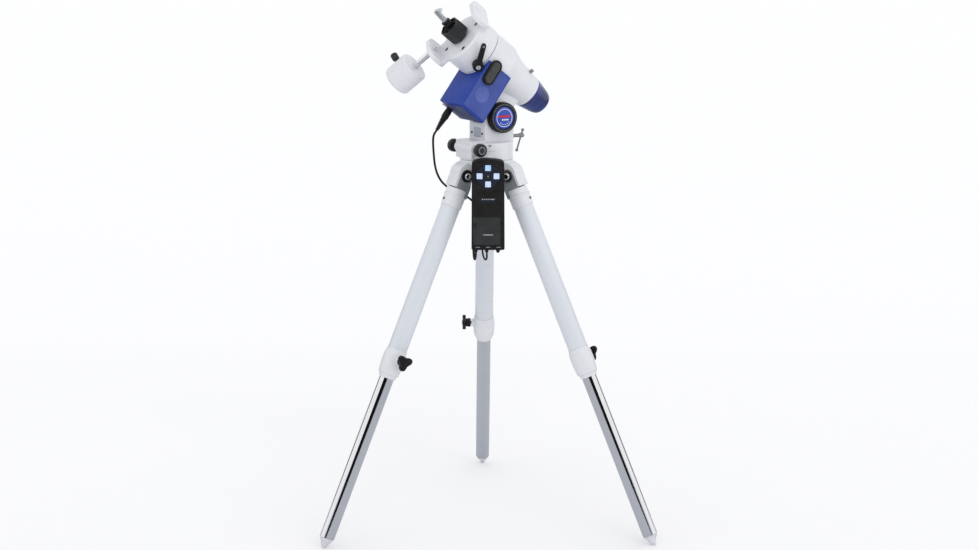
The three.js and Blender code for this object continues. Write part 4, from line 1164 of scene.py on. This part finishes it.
def clamp_lever():
    hub = along_y(turned([
        (0, 47), (4, 47), (4, 59), (10.6, 59), (12.5, 61, 1), (12.5, 71, 2), (10.6, 75, 1),
        (6.6, 75.4, 0.6), (0, 75.4),
    ]))
    arm = [(0, -6)] + arc(LEVER_REACH, 0, 5.4, -90, 90) + [(0, 6)]
    handle = moved(plate(arm, 64, 72, 1.4), turn_z(-LEVER_ANGLE))
    lever = HEAD @ shift(0, 0, LEVER_Z)
    place("lever_grip", merged([hub, along_y(handle)]), lever, "head_lever", BLACK,
          ["clamp_lever"])
    screw = along_y(turned([
        (0, 74), (5.2, 74), (5.2, 76, 0.6), (4.4, 76.5), (2.4, 76.5, 0.2), (2.2, 75.4, 0.2), (0, 75.4),
    ], SMALL, 0.3))
    place("lever_screw", screw, lever, "head_lever", CHROME)
    tip = along_y(turned([(0, 71), (3.1, 71), (3.1, 72.4, 0.4), (0, 72.8)], SMALL, 0.3))
    aim = math.radians(LEVER_ANGLE)
    end = shift(LEVER_REACH * math.cos(aim), 0, LEVER_REACH * math.sin(aim))
    place("lever_pin", moved(tip, end), lever, "head_lever", STEEL)


def head_knob():
    body = turned([(0, -4), (19, -4), (25, 1, 1), (25, 31, 1), (23.4, 33), (0, 33)], 8, 0.8)
    stud = bar(7.6, -12.5, -3, SMALL, 0.3)
    hollow = turned([(0, 6), (14.2, 6), (14.2, 26), (19.4, 26), (20.5, 27), (20.5, 34), (0, 34)], MEDIUM, 0)
    made = merged([body, stud], [hollow])
    place("lock_knob", made, HEAD, "stem_knob", KNOB, ["head_knob"], sharp=25)


def head_stem():
    neck = merged([ball(13.1, segments=48), turned([
        (0, 8), (8.6, 8), (8.6, 14.6), (10.2, 15.8, 0.4), (10.2, 20, 0.4), (8.8, 21, 0.3),
        (8.8, 23, 0.3), (10.2, 24, 0.4), (10.2, 27, 0.8), (8.4, 28), (0, 28),
    ])])
    place("ringed_collar", neck, STEM, "tilting_stem", BLACK, ["head_collar"])
    stem = turned([(0, 28.2), (6.5, 28.2), (6.5, 57, 1.6), (5, 60), (0, 60)], MEDIUM)
    wing = plate(arc(0, 0, 12.4, -80, 80, 40), 53, 55, 0.4)
    flat = block((4.2, -7, 31), (8, 7, 51))
    made = merged([stem, wing], [flat, block((2, -3.4, 56.5), (8, 3.4, 62))])
    place("bright_stem", made, STEM, "tilting_stem", SATIN, ["head_stem"])


def counterweight():
    rod = along_x(turned([
        (0, 57.3), (ROD_RADIUS, 57.3), (ROD_RADIUS, EAR_OUTER + 0.3), (10.5, EAR_OUTER + 0.3),
        (10.5, EAR_OUTER + 7, 1), (ROD_RADIUS, EAR_OUTER + 9), (ROD_RADIUS, WEIGHT_OUT - 5, 1),
        (5, WEIGHT_OUT - 3), (0, WEIGHT_OUT - 3),
    ]))
    pin = HEAD @ shift(0, 0, PIN_HEIGHT)
    place("weight_rod", rod, pin, "turning_head", CHROME, ["counterweight_shaft"])
    bore = ROD_RADIUS + 0.3
    body = along_x(turned([
        (bore, WEIGHT_IN), (11, WEIGHT_IN, 0.5), (11.6, WEIGHT_IN + 0.8, 0.4),
        (27, WEIGHT_IN + 0.8, 1), (WEIGHT_RADIUS, WEIGHT_IN + 1.4, 6),
        (WEIGHT_RADIUS, WEIGHT_OUT - 0.5, 9), (15, WEIGHT_OUT, 1), (13, WEIGHT_OUT - 4),
        (bore, WEIGHT_OUT - 4),
    ], 120))
    turn = shift(WEIGHT_MIDDLE, 0, 0) @ turn_x(WEIGHT_SCREW_TURN)
    made = merged([body], [moved(bar(3.3, 5, 40, SMALL, 0), turn)])
    place("iron_weight", made, pin, "balance_weight", ENAMEL, ["counterweight"])
    screw = turned([
        (0, 7.8), (3, 7.8), (3, 38.6), (5.4, 39.4), (7.6, 40.6), (8, 41.6, 0.6), (8, 53.4, 0.8),
        (6.6, 55.5), (3, 55.5), (2.6, 54.7, 0.2), (0, 54.7),
    ], FINE)
    made = merged([screw], [around(bar(0.55, 41.5, 53.5, 8, 0), 20, 8.15)])
    place("weight_lock", made, pin @ turn, "weight_screw", KNOB,
          ["counterweight_screw"])


def make_head():
    ra_head()
    clamp_lever()
    head_knob()
    head_stem()
    counterweight()


# ---------------------------------------------------------------- hand controller
CASE_HALF = 36
CASE_LOW = 637
CASE_HIGH = 835
CASE_FRONT = -106
BUTTONS_MIDDLE = 798.5
BUTTONS = {"up": (0, 17.6), "down": (0, -17.6), "left": (-18.2, 0), "right": (18.2, 0)}
PRINT = 0.15  # thickness of printed marks
STEP = 0.9  # of the case's middle part, behind its front
SLIT = (-24.5, 691)
DOOR = (0.75, 678.5)
OUTLETS = {"cable": -23, "lead": 0.6, "switch": 25}  # along the case's lower end
OUTLET_Y = -93


def on_front(points, low=0.0, high=PRINT, soft=0.0, depth=CASE_FRONT):
    """A thin plate on the case's front; low and high stand out of the front face."""
    return upright(plate(points, -depth + low, -depth + high, soft))


def button_square(name, width, corner):
    x, z = BUTTONS[name]
    return round_rectangle(width, width, corner, CASE_CENTRE + x, BUTTONS_MIDDLE + z)


def controller_case():
    half = CASE_HALF
    side, shoulder = half - 1, half - 12
    high, brow = CASE_HIGH - 12, CASE_HIGH - 2.5
    outline = arc(-half + 4, CASE_LOW + 4, 4, 180, 270, 6) + arc(half - 4, CASE_LOW + 4, 4, 270, 360, 6)
    outline += bend((side, high), (side, CASE_HIGH - 4), (shoulder, brow))
    outline += bend((shoulder, brow), (0, CASE_HIGH + 2.5), (-shoulder, brow), 20)[1:]
    outline += bend((-shoulder, brow), (-side, CASE_HIGH - 4), (-side, high))[1:]
    body = moved(upright(plate(outline, -CASE_BACK, -CASE_FRONT, 1.8)), shift(CASE_CENTRE, 0, 0))
    tools = [on_front(button_square(name, 13.3, 1.7), -5, 1) for name in BUTTONS]
    tools.append(on_front(round_rectangle(60.5, 61, 1.2, *DOOR), -2.6, 1))
    # shallow step between the button half and the lower half
    tools.append(block((CASE_CENTRE - 40, CASE_FRONT - 1, 700), (CASE_CENTRE + 40, CASE_FRONT + STEP, 765)))
    for x in OUTLETS.values():
        tools.append(moved(bar(3.4, CASE_LOW - 1, CASE_LOW + 8, SMALL, 0), shift(x, OUTLET_Y, 0)))
    tools.append(moved(pin_y(3.4, -10, 1, OUTLETS["lead"], 671), shift(0, CASE_BACK, 0)))
    made = merged([body], tools)
    place("controller_shell", made, STAND, "head_base", CASE, ["controller_case"])


def case_marks():
    """Printed field, lines and generic marks on the case."""
    reach, cut = 28.5, 5.5
    field = []
    for i in range(4):
        angle = math.radians(90 * i)
        tip = Vector((math.cos(angle), math.sin(angle))) * reach
        side = Vector((-math.sin(angle), math.cos(angle))) * cut
        field += [(CASE_CENTRE + p.x, BUTTONS_MIDDLE + p.y) for p in (tip - side, tip + side)]
    tools = [on_front(button_square(name, 13.3, 1.7), -1, 1) for name in BUTTONS]
    place("button_field", merged([on_front(field)], tools), STAND, "head_base", INK_NAVY)
    lines = []
    for across, up in ((-1, 1), (1, 1), (-1, -1), (1, -1)):
        a, b = Vector((22 * across, 22 * up)), Vector((11 * across, 29 * up))
        side = (b - a).normalized().orthogonal() * 0.35
        corners = [a + side, b + side, b - side, a - side]
        lines.append(on_front([(CASE_CENTRE + p.x, BUTTONS_MIDDLE + p.y) for p in corners]))
    lines.append(on_front(round_rectangle(9, 0.8, 0.3, CASE_CENTRE, BUTTONS_MIDDLE + 32.6)))
    place("red_lines", joined(lines), STAND, "head_base", INK_DIM)
    marks = []
    front = CASE_FRONT + STEP
    for i in range(4):
        word = round_rectangle(3.2, 2.6, 0.5, CASE_CENTRE - 12 + 4.6 * i, 748)
        marks.append(on_front(word, depth=front))
    marks.append(on_front(round_rectangle(9, 2.6, 0.5, CASE_CENTRE + 9.4, 748), depth=front))
    marks.append(on_front(round_rectangle(22, 2.6, 1.2, CASE_CENTRE, 670.5), depth=CASE_FRONT + 0.4))
    for x in (-22, 0, 23):
        marks.append(on_front(round_rectangle(9, 1.4, 0.5, CASE_CENTRE + x, 643.5)))
    place("pale_marks", joined(marks), STAND, "head_base", INK_GREY)
    stripe = on_front(round_rectangle(34, 3.6, 0.6, CASE_CENTRE, 742.6), depth=front)
    place("blue_stripe", stripe, STAND, "head_base", INK_NAVY)
    lamp = moved(turned([(0, 0), (1.6, 0), (1.6, 0.6), (0, 1.1)], SMALL, 0.2), turn_x(90))
    moved(lamp, shift(CASE_CENTRE, CASE_FRONT - 0.1, BUTTONS_MIDDLE - 0.5))
    place("signal_lamp", lamp, STAND, "head_base", LAMP)


def battery_cover():
    panel = on_front(round_rectangle(59.8, 60.3, 1, *DOOR), -2.3, -0.4, 0.3)
    slit = on_front(round_rectangle(5.5, 11, 1, *SLIT), -1.9, 1)
    groove = on_front(round_rectangle(52, 0.7, 0.2, DOOR[0], 705), -0.9, 1)
    made = merged([panel], [slit, groove])
    place("battery_panel", made, STAND, "battery_door", PANEL, ["battery_cover"])
    # painted shade at the bottom of the panel's slit
    dark = on_front(round_rectangle(5.1, 10.6, 0.9, *SLIT), -1.95, -1.2)
    place("slit_shade", dark, STAND, "battery_door", SHADOW)


def controller_buttons():
    for name in BUTTONS:
        cap = on_front(button_square(name, 12.5, 1.5), -2.8, 1.6, 0.7)
        place(f"button_cap_{name}", cap, STAND, f"button_{name}",
              BUTTON_BLUE if name == "up" else BUTTON_PALE, [f"control_button_{name}"])
    switch = turned([
        (0, 629), (2.4, 629), (3, 630), (3, 634, 0.2), (2.7, 634.4, 0.2), (2.7, 635.4, 0.2),
        (3, 635.8, 0.2), (3, 642), (0, 642),
    ], SMALL, 0.3)
    place("power_key", moved(switch, shift(OUTLETS["switch"], OUTLET_Y, 0)), STAND, "power_button",
          GREY, ["power_switch"])


def cord_bushes():
    """Strain reliefs where the two cords leave the case, and the switch's collar."""
    for name in ("cable", "lead"):
        bush = turned([
            (2.6, 631), (3.6, 631, 0.4), (4.4, 637, 0.2), (4.4, 637.4), (2.6, 637.4),
        ], SMALL, 0.2)
        place(f"{name}_bush", moved(bush, shift(OUTLETS[name], OUTLET_Y, 0)), STAND, "head_base",
              RUBBER)
    collar = turned([(3.3, 632), (4.6, 632), (4.8, 637.4), (3.3, 637.4)], SMALL, 0.2)
    place("switch_collar", moved(collar, shift(OUTLETS["switch"], OUTLET_Y, 0)), STAND, "head_base",
          BLACK)


def make_controller():
    controller_case()
    case_marks()
    battery_cover()
    controller_buttons()
    cord_bushes()


# ---------------------------------------------------------------- everything else
INNER_FINISHES = {
    "azimuth_pin": STEEL,
    "ra_motor": STEEL,
    "worm": STEEL,
    "worm_wheel": BRASS,
    "polar_shaft": STEEL,
    "polar_scope": BLACK,
}


def finish_inner_parts():
    for name, look in INNER_FINISHES.items():
        data = frame["nodes"][name].data
        data.materials.clear()
        data.materials.append(look)


# ---------------------------------------------------------------- studio, in metres
FLOOR_REACH = 200
GREY_CARD = (0.47, 0.49, 0.54)
DARK_CARD = (0.008, 0.008, 0.008)
EDGE_CARD = (0.12, 0.12, 0.12)
CARD_LIFT = 0.003  # of the ground card above the floor
CARD_FRONT = -5.2  # the standing cards' place, behind the camera
CARD_BACK = 1.5
CARD_REACH = 6
WORLD_STRENGTH = 0.93
SUN_STRENGTH = 0.9
SUN_SPREAD = 60
SUN_DIRECTION = (-0.3, 0.85, -0.35)


def sheet(name, corners, material):
    """A flat four-cornered piece of the studio."""
    data = bpy.data.meshes.new(name)
    data.from_pydata(corners, [], [(0, 1, 2, 3)])
    data.materials.append(material)
    made = bpy.data.objects.new(name, data)
    bpy.context.scene.collection.objects.link(made)
    return made


def card(name, corners, color, blocks_light=False):
    """A studio card that only shows as a reflection in polished parts."""
    made = sheet(name, corners, shader(name, color, 0.9, gloss=0.0))
    made.visible_camera = False
    made.visible_diffuse = False
    made.visible_transmission = False
    made.visible_shadow = blocks_light


def standing(left, right, y, low, high):
    return [(left, y, low), (right, y, low), (right, y, high), (left, y, high)]


def lying(left, right, front, back, z):
    return [(left, front, z), (right, front, z), (right, back, z), (left, back, z)]


def make_stage():
    """A white floor, and the dark and grey cards that give the chrome legs their stripes."""
    far = FLOOR_REACH
    reach = CARD_REACH
    front = CARD_FRONT
    sheet("floor", lying(-far, far, -far, far, 0), shader("floor", (0.98, 0.98, 0.98), 0.8, gloss=0.1))
    card("grey_ground", lying(-reach, reach, front, CARD_BACK, CARD_LIFT), GREY_CARD)
    card("grey_screen", standing(-reach, reach, front - 0.1, 0, 1.4), GREY_CARD, True)
    card("dark_screen", standing(-1.15, 1.15, front, 0.02, 2.4), DARK_CARD, True)
    for side, name in ((-1, "left"), (1, "right")):
        wing = [(1.15, 0.1), (3.9, 0.5), (3.9, 2.5), (1.15, 2.4)]
        card(f"dark_wing_{name}", [(side * x, front, z) for x, z in wing], DARK_CARD, True)
        edge = [(1.37, 0.3, 0), (0.97, 0.78, 0), (0.97, 0.78, 0.9), (1.37, 0.3, 0.9)]
        card(f"side_{name}", [(side * x, y, z) for x, y, z in edge], EDGE_CARD)


def make_light():
    bpy.context.scene.view_settings.view_transform = "Standard"
    world = bpy.data.worlds.new("studio")
    world.use_nodes = True
    background = world.node_tree.nodes["Background"]
    background.inputs["Color"].default_value = (0.98, 0.985, 1, 1)
    background.inputs["Strength"].default_value = WORLD_STRENGTH
    bpy.context.scene.world = world
    data = bpy.data.lights.new("key", "SUN")
    data.energy = SUN_STRENGTH
    data.angle = math.radians(SUN_SPREAD)
    lamp = bpy.data.objects.new("key", data)
    lamp.rotation_euler = Vector(SUN_DIRECTION).to_track_quat("-Z", "Y").to_euler()
    lamp.visible_glossy = False
    bpy.context.scene.collection.objects.link(lamp)


make_legs()
tripod_head()
centre_bolt()
make_base()
altitude_axis()
badge_pattern()
make_polar()
make_head()
make_controller()
finish_inner_parts()
make_stage()
make_light()
